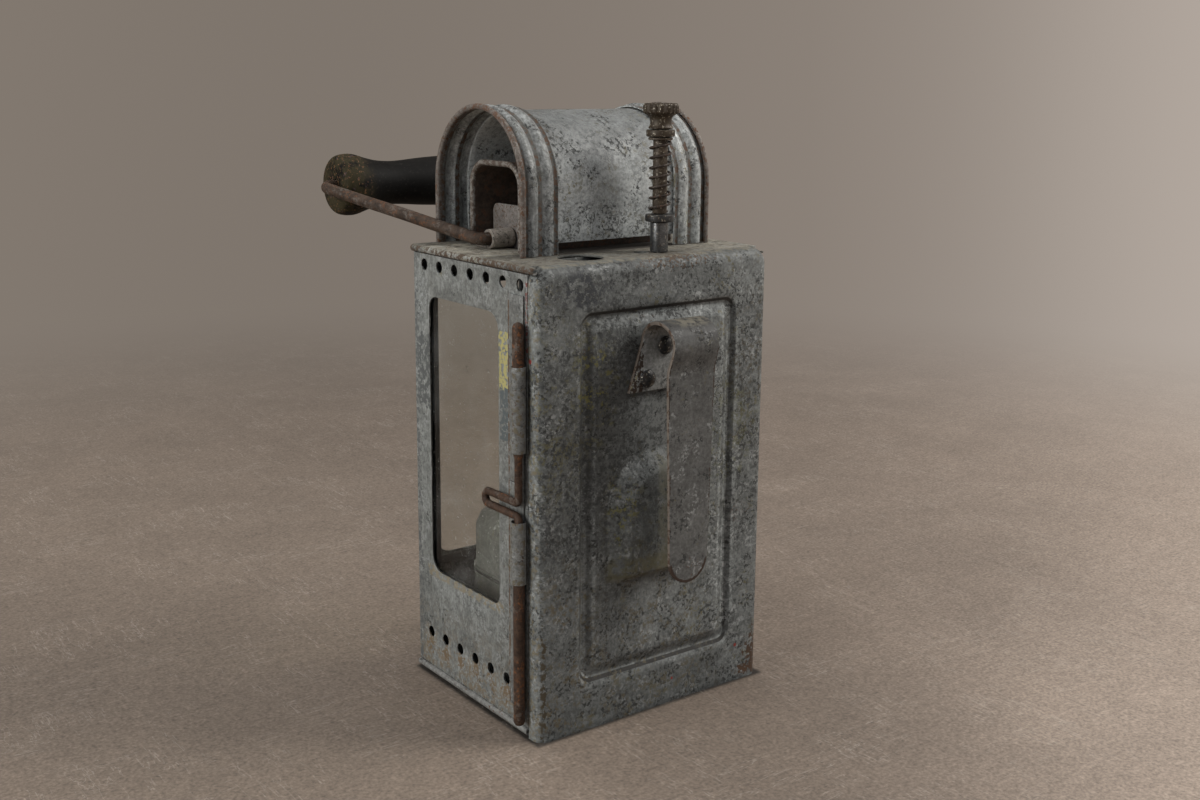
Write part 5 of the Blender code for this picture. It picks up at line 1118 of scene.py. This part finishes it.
def belt_hook(looks):
    """Sprung strip hook with a turned top, soft edges and three flattened rivets."""
    thick = HOOK_STRIP / 2
    wall_y = BACK_FACE - GAP - thick
    front_y = BACK_FACE - HOOK_STANDOFF
    reach = (wall_y - front_y + HOOK_BULGE) / 2
    loop_z = HOOK_TOP - thick - HOOK_LOOP_RISE
    neck_z = loop_z - HOOK_NECK
    path = [(wall_y, HOOK_FOOT_LOW, HOOK_FOOT_WIDTH)]
    for i in range(1, 9):
        share = i / 8
        z = HOOK_FOOT_LOW + (loop_z - HOOK_FOOT_LOW) * share
        path.append((wall_y, z, HOOK_FOOT_WIDTH + (HOOK_LOOP_WIDTH - HOOK_FOOT_WIDTH) * share))
    for y, z in arc((0, 0), 1, 0, 180, 24)[1:]:
        path.append((wall_y - reach + reach * y, loop_z + HOOK_LOOP_RISE * z, HOOK_LOOP_WIDTH))
    for i in range(1, 13):
        share = i / 12
        bulge = HOOK_BULGE * (1 + math.cos(math.pi * share)) / 2
        width = HOOK_LOOP_WIDTH + (HOOK_SHOULDER_WIDTH - HOOK_LOOP_WIDTH) * share
        path.append((front_y - bulge, loop_z - HOOK_NECK * share, width))
    tip_half = HOOK_TIP_WIDTH / 2
    tip_start = HOOK_TIP + tip_half
    for i in range(1, 25):
        share = i / 24
        z = neck_z + (tip_start - neck_z) * share
        width = HOOK_SHOULDER_WIDTH + (HOOK_TIP_WIDTH - HOOK_SHOULDER_WIDTH) * share
        path.append((front_y + dent((0, 0, z), *HOOK_WAVE) * min(share * 4, 1), z, width))
    for step in range(1, 16):
        angle = math.radians(88) * step / 15
        path.append((front_y, tip_start - tip_half * math.sin(angle), HOOK_TIP_WIDTH * math.cos(angle)))
    rows = []
    for y, z, width in path:
        rows.append([(HOOK_X + width * (k / 8 - 0.5), y, z) for k in range(9)])
    mesh = baked("hook_strip", grid(rows), HOOK_STRIP, 2 * BEVEL)
    piece("hook_strip", mesh, looks["hook"], "casing", "galvanised_sheet", "belt_hook")
    for name in ("hook_rivet_top", "hook_rivet_left", "hook_rivet_right"):
        low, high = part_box(name)
        middle = (low + high) / 2
        profile = [(0, 0), (RIVET_RADIUS, 0)]
        for share in (0.25, 0.5, 0.75, 0.9):
            angle = math.radians(90) * share
            profile.append((RIVET_RADIUS * math.cos(angle), RIVET_RISE * math.sin(angle)))
        profile.append((0, RIVET_RISE))
        mesh = lathe(name + "_head", profile, 32)
        turn = Matrix.Rotation(math.radians(90), 4, "X")
        mesh.transform(Matrix.Translation((middle.x, low.y + RIVET_RISE, middle.z)) @ turn)
        piece(name + "_head", mesh, looks["cap"], "casing", "galvanised_sheet", name)


def stations(radius, low, steps=64, legs=5):
    """Places and outward directions along the hood's arch, foot to foot."""
    y0, z0 = HOOD_CENTRE
    points = [(y0 - radius, low + (z0 - low) * i / legs, -1, 0) for i in range(legs)]
    points += [(y0 + radius * y, z0 + radius * z, y, z) for y, z in arc((0, 0), 1, 180, -180, steps)]
    points += [(y0 + radius, z0 + (low - z0) * i / legs, 1, 0) for i in range(1, legs + 1)]
    return points


def swept(name, along, section, wave=None):
    """A sheet whose section of (x, outward offset) points follows an arch."""
    rows = []
    for y, z, out_y, out_z in along:
        line = []
        for x, offset in section:
            reach = offset + (dent((x, y, z), *wave) if wave else 0)
            line.append((x, y + out_y * reach, z + out_z * reach))
        rows.append(line)
    return baked(name, grid(rows), SHEET, FINE_BEVEL)


def rim_curl(end_x, side):
    """The section of a rolled rim that ends at a place along X."""
    points = arc((RIM_RADIUS + HALF_SHEET, RIM_RADIUS), RIM_RADIUS, 10, 260, 14)
    return [(side * (end_x - x), out) for x, out in points]


def hood(looks):
    """Tunnel hood: a wavy middle sheet, and two beaded collars with rolled rims."""
    half = HOOD_LENGTH / 2
    collar_radius = HOOD_RADIUS - HALF_SHEET
    middle_radius = collar_radius - SHEET - GAP
    lap = half - COLLAR_LENGTH + COLLAR_LAP
    section = [(-lap + 2 * lap * i / 30, 0) for i in range(31)]
    mesh = swept("hood_sheet", stations(middle_radius, CASE_HEIGHT + HOOD_SLOT), section, HOOD_WAVE)
    piece("hood_sheet", mesh, looks["hood"], "casing", "galvanised_sheet", "hood_middle")
    for side, name in ((-1, "left"), (1, "right")):
        section = rim_curl(half, side)
        for i in range(1, 61):
            share = 0.12 + 0.88 * i / 60
            rise = 0.0
            for start, end in ((0.18, 0.48), (0.58, 0.9)):
                if start < share < end:
                    rise = math.sin(math.pi * (share - start) / (end - start)) ** 1.5
            if share > 0.93:
                rise = 0.25 * eased((share - 0.93) / 0.07)
            section.append((side * (half - COLLAR_LENGTH * share), COLLAR_BEAD * rise))
        mesh = swept("collar_" + name, stations(collar_radius, DECK), section)
        piece("collar_" + name, mesh, looks["collar"], "casing", "galvanised_sheet", "hood_collar_" + name)


def inner_duct(looks):
    """Square duct with round corners and a rolled rim at each mouth."""
    half = DUCT_LENGTH / 2
    reach = DUCT_WIDTH / 2 - HALF_SHEET
    top = DUCT_TOP - HALF_SHEET
    y0 = HOOD_CENTRE[0]
    bend = top - DUCT_CORNER
    along = [(y0 - reach, DECK + (bend - DECK) * i / 6, -1, 0) for i in range(6)]
    for centre_y, start in ((y0 - reach + DUCT_CORNER, 180), (y0 + reach - DUCT_CORNER, 90)):
        for y, z in arc((0, 0), 1, start, -90, 16):
            along.append((centre_y + DUCT_CORNER * y, bend + DUCT_CORNER * z, y, z))
    along += [(y0 + reach, bend + (DECK - bend) * i / 6, 1, 0) for i in range(1, 7)]
    middle = [(-half + RIM_ROOM + (DUCT_LENGTH - 2 * RIM_ROOM) * i / 20, 0) for i in range(21)]
    section = rim_curl(half, -1) + middle + list(reversed(rim_curl(half, 1)))
    mesh = swept("duct_sheet", along, section)
    piece("duct_sheet", mesh, looks["duct"], "casing", "sooty_sheet", "inner_duct")





def brackets(looks):
    """The bail's two straps: a leaf on the deck, rolled round the wire."""
    y0 = HOOD_CENTRE[0]
    roll_radius = WIRE_RADIUS + GAP + STRAP / 2
    leaf = [(y0 + BRACKET_LEAF * share, PIVOT_Z - roll_radius) for share in (1, 0.5)]
    profile = leaf + arc((y0, PIVOT_Z), roll_radius, -90, -320, 36)
    for side, name in ((-1, "left"), (1, "right")):
        low, high = sorted((side * (BRACKET_OUTER - BRACKET_LENGTH), side * BRACKET_OUTER))
        rows = [[(low + (high - low) * i / 6, y, z) for y, z in profile] for i in range(7)]
        made = "bracket_" + name
        mesh = baked(made, grid(rows), STRAP, FINE_BEVEL)
        piece(made, mesh, looks["bracket"], "casing", "galvanised_sheet", "bail_" + made)


def bail_matrix():
    """From the bail's own plane to its place at rest."""
    turn = Matrix.Rotation(math.radians(BAIL_REST_DEG), 4, "X")
    return Matrix.Translation((0, HOOD_CENTRE[0], PIVOT_Z)) @ turn


def bail(looks):
    """The bent wire, and the turned grip on it."""
    start = BRACKET_OUTER - BRACKET_LENGTH + GAP
    left = rounded([(-start, 0, 0), (-BAIL_ELBOW_X, 0, 0), (-BAIL_CORNER_X, BAIL_REACH, 0)], BAIL_ELBOW)
    corner = rounded(
        [(-BAIL_ELBOW_X, 0, 0), (-BAIL_CORNER_X, BAIL_REACH, 0), (0, BAIL_REACH, 0)], BAIL_CORNER
    )
    half = left[:-1] + corner[1:-1]
    path = half + [Vector((-p.x, p.y, p.z)) for p in reversed(half)]
    fine = []
    for a, b in zip(path, path[1:]):
        count = max(1, round((b - a).length / WIRE_STEP))
        fine += [a.lerp(b, i / count) for i in range(count)]
    fine.append(path[-1])
    wire = [p + Vector((0, 0, dent(p, *WIRE_WAVE))) for p in fine]
    mesh = rod("bail_rod", wire, WIRE_RADIUS, domed=0.1)
    mesh.transform(bail_matrix())
    piece("bail_rod", mesh, looks["rust"], "bail", "rusty_wire", "bail_wire")

    length = GRIP_LENGTH / 2
    swell = GRIP_END_RADIUS - GRIP_WAIST_RADIUS
    shares = (
        (1, -0.55), (0.998, -0.2), (0.99, 0.35), (0.972, 0.68), (0.945, 0.88), (0.89, 1), (0.83, 0.93),
        (0.74, 0.52), (0.64, 0.16), (0.52, 0), (0.4, 0.06), (0.22, 0.28), (0, 0.41),
    )
    key = [(GRIP_WAIST_RADIUS + swell * rise, -length * share) for share, rise in shares]
    key += [(radius, -z) for radius, z in reversed(key[:-1])]
    profile = smoothed(key, 4)
    bore = WIRE_RADIUS + GAP
    profile += [(bore, length - GRIP_RECESS), (bore, -length + GRIP_RECESS)]
    mesh = lathe("grip_turned", profile, 64, sharp_deg=50)
    mesh.transform(
        bail_matrix() @ Matrix.Translation((0, BAIL_REACH, 0)) @ Matrix.Rotation(math.radians(90), 4, "Y")
    )
    piece("grip_turned", mesh, looks["grip"], "bail", "painted_wood", "bail_grip")


def smoothed(points, steps):
    """A curve through the points, with as many steps between them."""
    points = [Vector(point) for point in points]
    result = []
    for i in range(len(points) - 1):
        p0, p1, p2 = points[max(i - 1, 0)], points[i], points[i + 1]
        p3 = points[min(i + 2, len(points) - 1)]
        for k in range(steps):
            t = k / steps
            value = (
                p1 * 2
                + (p2 - p0) * t
                + (p0 * 2 - p1 * 5 + p2 * 4 - p3) * t**2
                + (p1 * 3 - p0 - p2 * 3 + p3) * t**3
            ) / 2
            result.append(tuple(value))
    result.append(tuple(points[-1]))
    return result


def ring_profile(inner, outer, low, high, chamfer):
    return chamfered([(inner, low), (outer, low), (outer, high), (inner, high)], chamfer)


def valve(looks):
    """Drip valve: bright tube, chamfered cap, stem, spring, washer, collar and fluted knob."""
    here = (VALVE_X, VALVE_Y, 0)

    def span(node):
        low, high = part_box(node)
        return low.z, high.z

    washer_bore = STEM_RADIUS + GAP
    rings = (
        ("valve_tube", VALVE_TUBE_RADIUS, FINE_CHAMFER, "tube", "casing", "bright_steel", NEEDLE_BORE),
        ("valve_cap", VALVE_CAP_RADIUS, CHAMFER, "cap", "casing", "turned_steel", NEEDLE_BORE),
        ("valve_stem", STEM_RADIUS, FINE_CHAMFER, "stem", "casing", "turned_steel", NEEDLE_BORE),
        ("spring_washer", WASHER_RADIUS, FINE_CHAMFER, "stem", "valve_carrier", "bright_steel", washer_bore),
        ("knob_collar", COLLAR_DISC_RADIUS, CHAMFER, "knob", "valve_spindle", "turned_steel", NEEDLE_BORE),
    )
    for node, radius, chamfer, look, body, slot_name, bore in rings:
        low, high = span(node)
        mesh = lathe(node + "_turned", ring_profile(bore, radius, low, high, chamfer), 40, here)
        piece(node + "_turned", mesh, looks[look], body, slot_name, node)

    low, high = span("valve_knob")
    tall = high - low
    shares = (
        (0.66, 0), (0.7, 0.05), (0.63, 0.12), (0.6, 0.2), (0.6, 0.36), (0.65, 0.46), (0.8, 0.55),
        (0.96, 0.61), (1, 0.65), (1, 0.91), (0.96, 0.97), (0.86, 1), (0.4, 1), (0.36, 0.985), (0, 0.98),
    )
    profile = [(KNOB_RADIUS * r, low + tall * h) for r, h in shares]
    profile += [(0, low + tall * 0.66), (NEEDLE_BORE, low + tall * 0.66), (NEEDLE_BORE, low)]
    profile = chamfered(profile, FINE_CHAMFER, 2)
    edge = KNOB_RADIUS * 0.9

    def fluted(radius, angle):
        if radius < edge:
            return radius
        return radius - FLUTE_DEPTH * (0.5 - 0.5 * math.cos(FLUTES * angle)) ** 0.5

    mesh = lathe("knob_turned", profile, FLUTES * 8, here, fluted)
    piece("knob_turned", mesh, looks["knob"], "valve_spindle", "turned_steel", "valve_knob")

    bottom, ceiling = span("valve_spring")
    low, high = bottom + SPRING_WIRE_RADIUS, ceiling - SPRING_WIRE_RADIUS
    steps = SPRING_TURNS * 24
    path = []
    for i in range(steps + 1):
        share = i / steps
        angle = 2 * math.pi * SPRING_TURNS * share
        rise = eased(min(share / 0.08, 1)) * share + (1 - eased(min(share / 0.08, 1))) * share * 0.4
        x = VALVE_X + SPRING_RADIUS * math.cos(angle)
        path.append((x, VALVE_Y + SPRING_RADIUS * math.sin(angle), low + (high - low) * rise))
    mesh = rod("spring_coil", path, SPRING_WIRE_RADIUS, sides=10)
    piece("spring_coil", mesh, looks["spring"], "valve_carrier", "rusty_wire", "valve_spring")


def bolt(looks):
    """Drop bolt with its hairpin loop, and its two rolled guides on the door."""
    low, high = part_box("bolt_rod")
    x = (low.x + high.x) / 2
    y = low.y + BOLT_RADIUS
    loop_high = LOOP_LOW + LOOP_SPACING
    shoulder = KNUCKLES["upper"][0]
    thin = BOLT_WIRE_RADIUS / BOLT_RADIUS
    out = y + LOOP_REACH - LOOP_SPACING / 2
    lower = rounded([(x, y, BOLT_SHOULDER + BOLT_RADIUS), (x, y, LOOP_LOW), (x, out, LOOP_LOW)], LOOP_BEND)
    pin = arc((out, LOOP_LOW + LOOP_SPACING / 2), LOOP_SPACING / 2, -90, 180, 16)[1:]
    upper = rounded([(x, out, loop_high), (x, y, loop_high), (x, y, shoulder - BOLT_RADIUS)], LOOP_BEND)[1:]
    middle = lower + [Vector((x, a, b)) for a, b in pin] + upper
    foot = [(x, y, low.z), (x, y, low.z + BOLT_RADIUS / 2)]
    foot += [(x, y, low.z + (BOLT_SHOULDER - low.z) * i / 8) for i in range(1, 9)]
    head = [(x, y, shoulder + (high.z - BOLT_RADIUS - shoulder) * i / 6) for i in range(7)]
    head += [(x, y, high.z - BOLT_RADIUS * share) for share in (0.6, 0.3, 0.1, 0.01)]
    shares = [0.75, 1] + [1] * 8 + [thin] * len(middle) + [1] * 7 + [0.92, 0.72, 0.42, 0.1]
    mesh = rod("bolt_bar", foot + middle + head, BOLT_RADIUS, shares, domed=0.02)
    piece("bolt_bar", mesh, looks["bolt"], "door_bolt", "rusty_wire", "bolt_rod")
    roll_radius = BOLT_RADIUS + GAP + BOLT_GUIDE_WALL / 2
    leaf_x = x + roll_radius
    roll = [(leaf_x, y + BOLT_GUIDE_WALL)] + arc((x, y), roll_radius, 0, -320, 36)
    for name, knuckle in KNUCKLES.items():
        low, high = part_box("bolt_guide_" + name)
        bm = bmesh.new()
        for profile, start, end in (
            ([(leaf_x, y + BOLT_LEAF), (leaf_x, y + BOLT_GUIDE_WALL)], low.z, high.z),
            (roll, *knuckle),
        ):
            heights = [start + (end - start) * i / 12 for i in range(13)]
            grid([[(*point, z) for point in profile] for z in heights], onto=bm)
        mesh = baked("guide_" + name, bm, BOLT_GUIDE_WALL, FINE_BEVEL)
        piece("guide_" + name, mesh, looks["guide"], "side_door", "galvanised_sheet", "bolt_guide_" + name)


def eased_copy(frame, node, look, body, slot_name, bevel):
    """The CAD solid with welded points, softened edges and smooth rounds, in place of its node.

    The deck's right roll starts further back than its solid's, as the photograph shows.
    """
    bm = bmesh.new()
    bm.from_mesh(frame["nodes"][node].data)
    bmesh.ops.remove_doubles(bm, verts=bm.verts, dist=SOLID_WELD)
    bmesh.ops.dissolve_limit(bm, angle_limit=math.radians(0.5), verts=bm.verts, edges=bm.edges)
    if node == "top_plate":
        everything = bm.verts[:] + bm.edges[:] + bm.faces[:]
        cut = {"plane_co": (ROLL_X - GAP, 0, 0), "plane_no": RIGHT}
        bmesh.ops.bisect_plane(bm, geom=everything, dist=WELD, **cut)
        for vert in bm.verts:
            if vert.co.x > ROLL_X and vert.co.y < ROLL_FRONT:
                vert.co.y = ROLL_FRONT
    mesh = baked(node + "_soft", bm, 0, bevel)
    piece(node + "_soft", mesh, look, body, slot_name, node)


def eased_pieces(frame, looks):
    """The remaining solids, softened at their edges."""
    record = frame["record"]
    slots = {part["node"]: part["material_slot"] for part in record["subparts"]}
    body_of = {node: body for body, nodes in record["behaviour"]["bodies"].items() for node in nodes}
    groups = (
        ("side", PANEL_BEVEL, ("side_door", "right_panel", "front_frame")),
        ("side", PANEL_BEVEL, ("hinge_knuckle_lower", "hinge_knuckle_upper")),
        ("deck", PANEL_BEVEL, ("top_plate",)),
        ("pan", PANEL_BEVEL, ("base_pan",)),
        ("baffle", FINE_BEVEL, ("wind_baffle_left", "wind_baffle_right")),
        ("pot", BEVEL, ("carbide_pot", "pot_lid", "water_tank")),
        # The window frames take the near-black soot and painted shade look.
        ("soot_and_shade", BEVEL, ("door_glass_frame", "right_glass_frame", "front_glass_frame")),
        ("rust", BEVEL, ("hinge_pin",)),
        ("reflector", BEVEL, ("reflector",)),
        ("brass", BEVEL, ("valve_seat", "drip_tube", "burner_pillar")),
        ("tube", 0, ("valve_needle",)),
        ("ceramic", BEVEL, ("burner_tip",)),
        ("rubber", BEVEL, ("lid_seal",)),
    )
    for look, bevel, nodes in groups:
        for node in nodes:
            eased_copy(frame, node, looks[look], body_of[node], slots[node], bevel)
    for node in ("door_glass", "right_glass", "front_glass"):
        panel = frame["nodes"][node]
        panel.data.materials.clear()
        panel.data.materials.append(looks["glass"])


def backdrop_tone(nodes, direction):
    """The backdrop's colour as seen along a direction."""
    azimuth = math.radians(CAMERA_AZIMUTH_DEG)
    across = nodes.vector("DOT_PRODUCT", direction, (math.cos(azimuth), math.sin(azimuth), 0), "Value")
    share = nodes.node("MapRange", ("Value", across), ("From Min", -0.5), ("From Max", 0.5))
    ramp = nodes.node("ValToRGB", ("Fac", share.outputs["Result"]))
    ramp.color_ramp.interpolation = "B_SPLINE"
    stops = ramp.color_ramp.elements
    stops.remove(stops[1])
    stops[0].position = BACKDROP_TONES[0][0] + 0.5
    for place, colour in BACKDROP_TONES[1:]:
        stops.new(place + 0.5)
    for stop, (place, colour) in zip(stops, BACKDROP_TONES):
        stop.color = (*colour, 1)
    return ramp.outputs["Color"]


def stage():
    """Pale warm floor with painted shadows round the lamp and painted light and shade across it, that turns
    into a glowing copy of the backdrop's colours well away from the lamp.
    """
    bm = bmesh.new()
    bmesh.ops.create_circle(bm, cap_ends=True, segments=96, radius=FLOOR_RADIUS)
    data = bpy.data.meshes.new("studio_floor")
    bm.to_mesh(data)
    bm.free()
    floor = bpy.data.objects.new("studio_floor", data)
    bpy.context.scene.collection.objects.link(floor)
    paint = Paint("floor_paper", (1, 1, 1), 0.9)
    ahead = paint.vector("NORMALIZE", paint.vector("SUBTRACT", paint.point, CAMERA_PLACE))
    # The floor takes the backdrop's colours, with their painted light.
    tone = backdrop_tone(paint, ahead)
    paint.tree.links.new(tone, paint.shader.inputs["Base Color"])
    paint.tone(paint.near((-0.02, -0.1, 0), 0.05, 0.55), 0.74, 0.77)
    # Painted light and shade: the floor is lighter to the left and darker to the right.
    paint.tone(paint.along("X", -0.1, 0.25), 1.1, 0.94)
    # Painted contact shadow: a dark line round the lamp's footprint.
    half = (CASE_WIDTH / 2 + CONTACT_SHADOW_EDGE, CASE_DEPTH / 2 + CONTACT_SHADOW_EDGE)
    paint.tone(paint.box((-half[0], -half[1], -1), (*half, 1), CONTACT_SHADOW_SOFT), 1.0, 0.16)
    paint.mottle(0.12, 0.92, 1.08, 3)
    paint.mottle(0.03, 0.93, 1.07, 5, 0.7, 5.0)
    # Painted shadow: a soft darker patch on the floor to the right of the lamp's front.
    paint.tone(paint.near((0.03, -0.11, 0), 0.03, 0.13), 1.0, 0.8)
    paint.mottle(0.005, 0.8, 1.2, 5, 0.75, 1.0)
    paint.mottle(0.0016, 0.68, 1.32, 3, 0.6, 2.0)
    paint.multiply(FLOOR_WARMTH)
    for stretch, shift in (((1, 0.08, 1), 0.0), ((0.1, 1, 1), 3.0), ((0.7, 0.12, 1), 6.0)):
        scratch = paint.hairs(paint.noise(0.01, 4, 0.7, stretch, shift), 0.5, 0.008)
        some = paint.clouds(0.5, 0.6, 0.05, 3, shift=shift + 1)
        paint.layer((scratch, some, 0.3), (0.5, 0.43, 0.36))
    paint.bumps(0.00008, 0.002, 3)
    paint.finish()
    # Far away the floor glows with the backdrop's colours instead of taking light.
    far = paint.node("Emission", ("Color", tone), ("Strength", 1.0))
    blend = paint.without(paint.near((0, 0, 0), *FLOOR_BLEND))
    paint.surface(blend, paint.shader.outputs[0], far.outputs[0], "Material Output")
    data.materials.append(paint.made)


def world():
    """Soft grey light from everywhere; what the eye, metal and glass see is the backdrop's colour."""
    made = bpy.data.worlds.new("studio")
    bpy.context.scene.world = made
    made.use_nodes = True
    nodes = Nodes(made.node_tree)
    light = nodes.tree.nodes["Background"]
    light.inputs["Color"].default_value = SKY_COLOUR
    light.inputs["Strength"].default_value = SKY_STRENGTH
    around = nodes.node("TexCoord").outputs["Generated"]
    seen = nodes.node("Background", ("Color", backdrop_tone(nodes, around)))
    rays = nodes.node("LightPath").outputs
    plainly = nodes.maths("MAXIMUM", rays["Is Camera Ray"], rays["Is Transmission Ray"])
    plainly = nodes.maths("MAXIMUM", plainly, rays["Is Glossy Ray"])
    nodes.surface(plainly, light.outputs[0], seen.outputs[0], "World Output")


def softbox(name, place, target, size, watts, colour):
    """A rectangular area light turned to its target."""
    data = bpy.data.lights.new(name, "AREA")
    data.shape = "RECTANGLE"
    data.size, data.size_y = size
    data.energy = watts
    data.color = colour
    lamp = bpy.data.objects.new(name, data)
    bpy.context.scene.collection.objects.link(lamp)
    lamp.location = place
    lamp.rotation_mode = "QUATERNION"
    lamp.rotation_quaternion = (Vector(target) - Vector(place)).to_track_quat("-Z", "Y")


def lights():
    for name, (place, size, watts, colour) in SOFTBOXES.items():
        softbox(name, place, LIGHT_TARGET, size, watts, colour)


def camera():
    """The camera that took the photograph, from its fitted values."""
    data = bpy.data.cameras.new("photo_camera")
    data.sensor_width = SENSOR_MM
    data.lens = FOCAL_PX / PHOTO_WIDTH_PX * SENSOR_MM
    data.shift_x = (PHOTO_WIDTH_PX / 2 - CENTRE_PX[0]) / PHOTO_WIDTH_PX
    data.shift_y = (CENTRE_PX[1] - PHOTO_HEIGHT_PX / 2) / PHOTO_WIDTH_PX
    data.clip_start, data.clip_end = CAMERA_CLIP
    made = bpy.data.objects.new("photo_camera", data)
    bpy.context.scene.collection.objects.link(made)
    azimuth, pitch, roll = (
        math.radians(v) for v in (CAMERA_AZIMUTH_DEG, CAMERA_PITCH_DEG, CAMERA_ROLL_DEG)
    )
    ahead = Vector(
        (-math.sin(azimuth) * math.cos(pitch), math.cos(azimuth) * math.cos(pitch), -math.sin(pitch))
    )
    right = Vector((math.cos(azimuth), math.sin(azimuth), 0))
    up = right.cross(ahead)
    side = right * math.cos(roll) + up * math.sin(roll)
    top = up * math.cos(roll) - right * math.sin(roll)
    turn = Matrix((side, top, -ahead)).transposed().to_4x4()
    made.matrix_world = Matrix.Translation(CAMERA_PLACE) @ turn
    bpy.context.scene.camera = made


def main():
    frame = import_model()
    bpy.context.scene.view_settings.view_transform = "Standard"
    camera()
    world()
    lights()
    stage()
    looks = make_looks()
    back_wall(looks["back"])
    belt_hook(looks)
    hood(looks)
    inner_duct(looks)
    brackets(looks)
    bail(looks)
    valve(looks)
    bolt(looks)
    eased_pieces(frame, looks)


main()
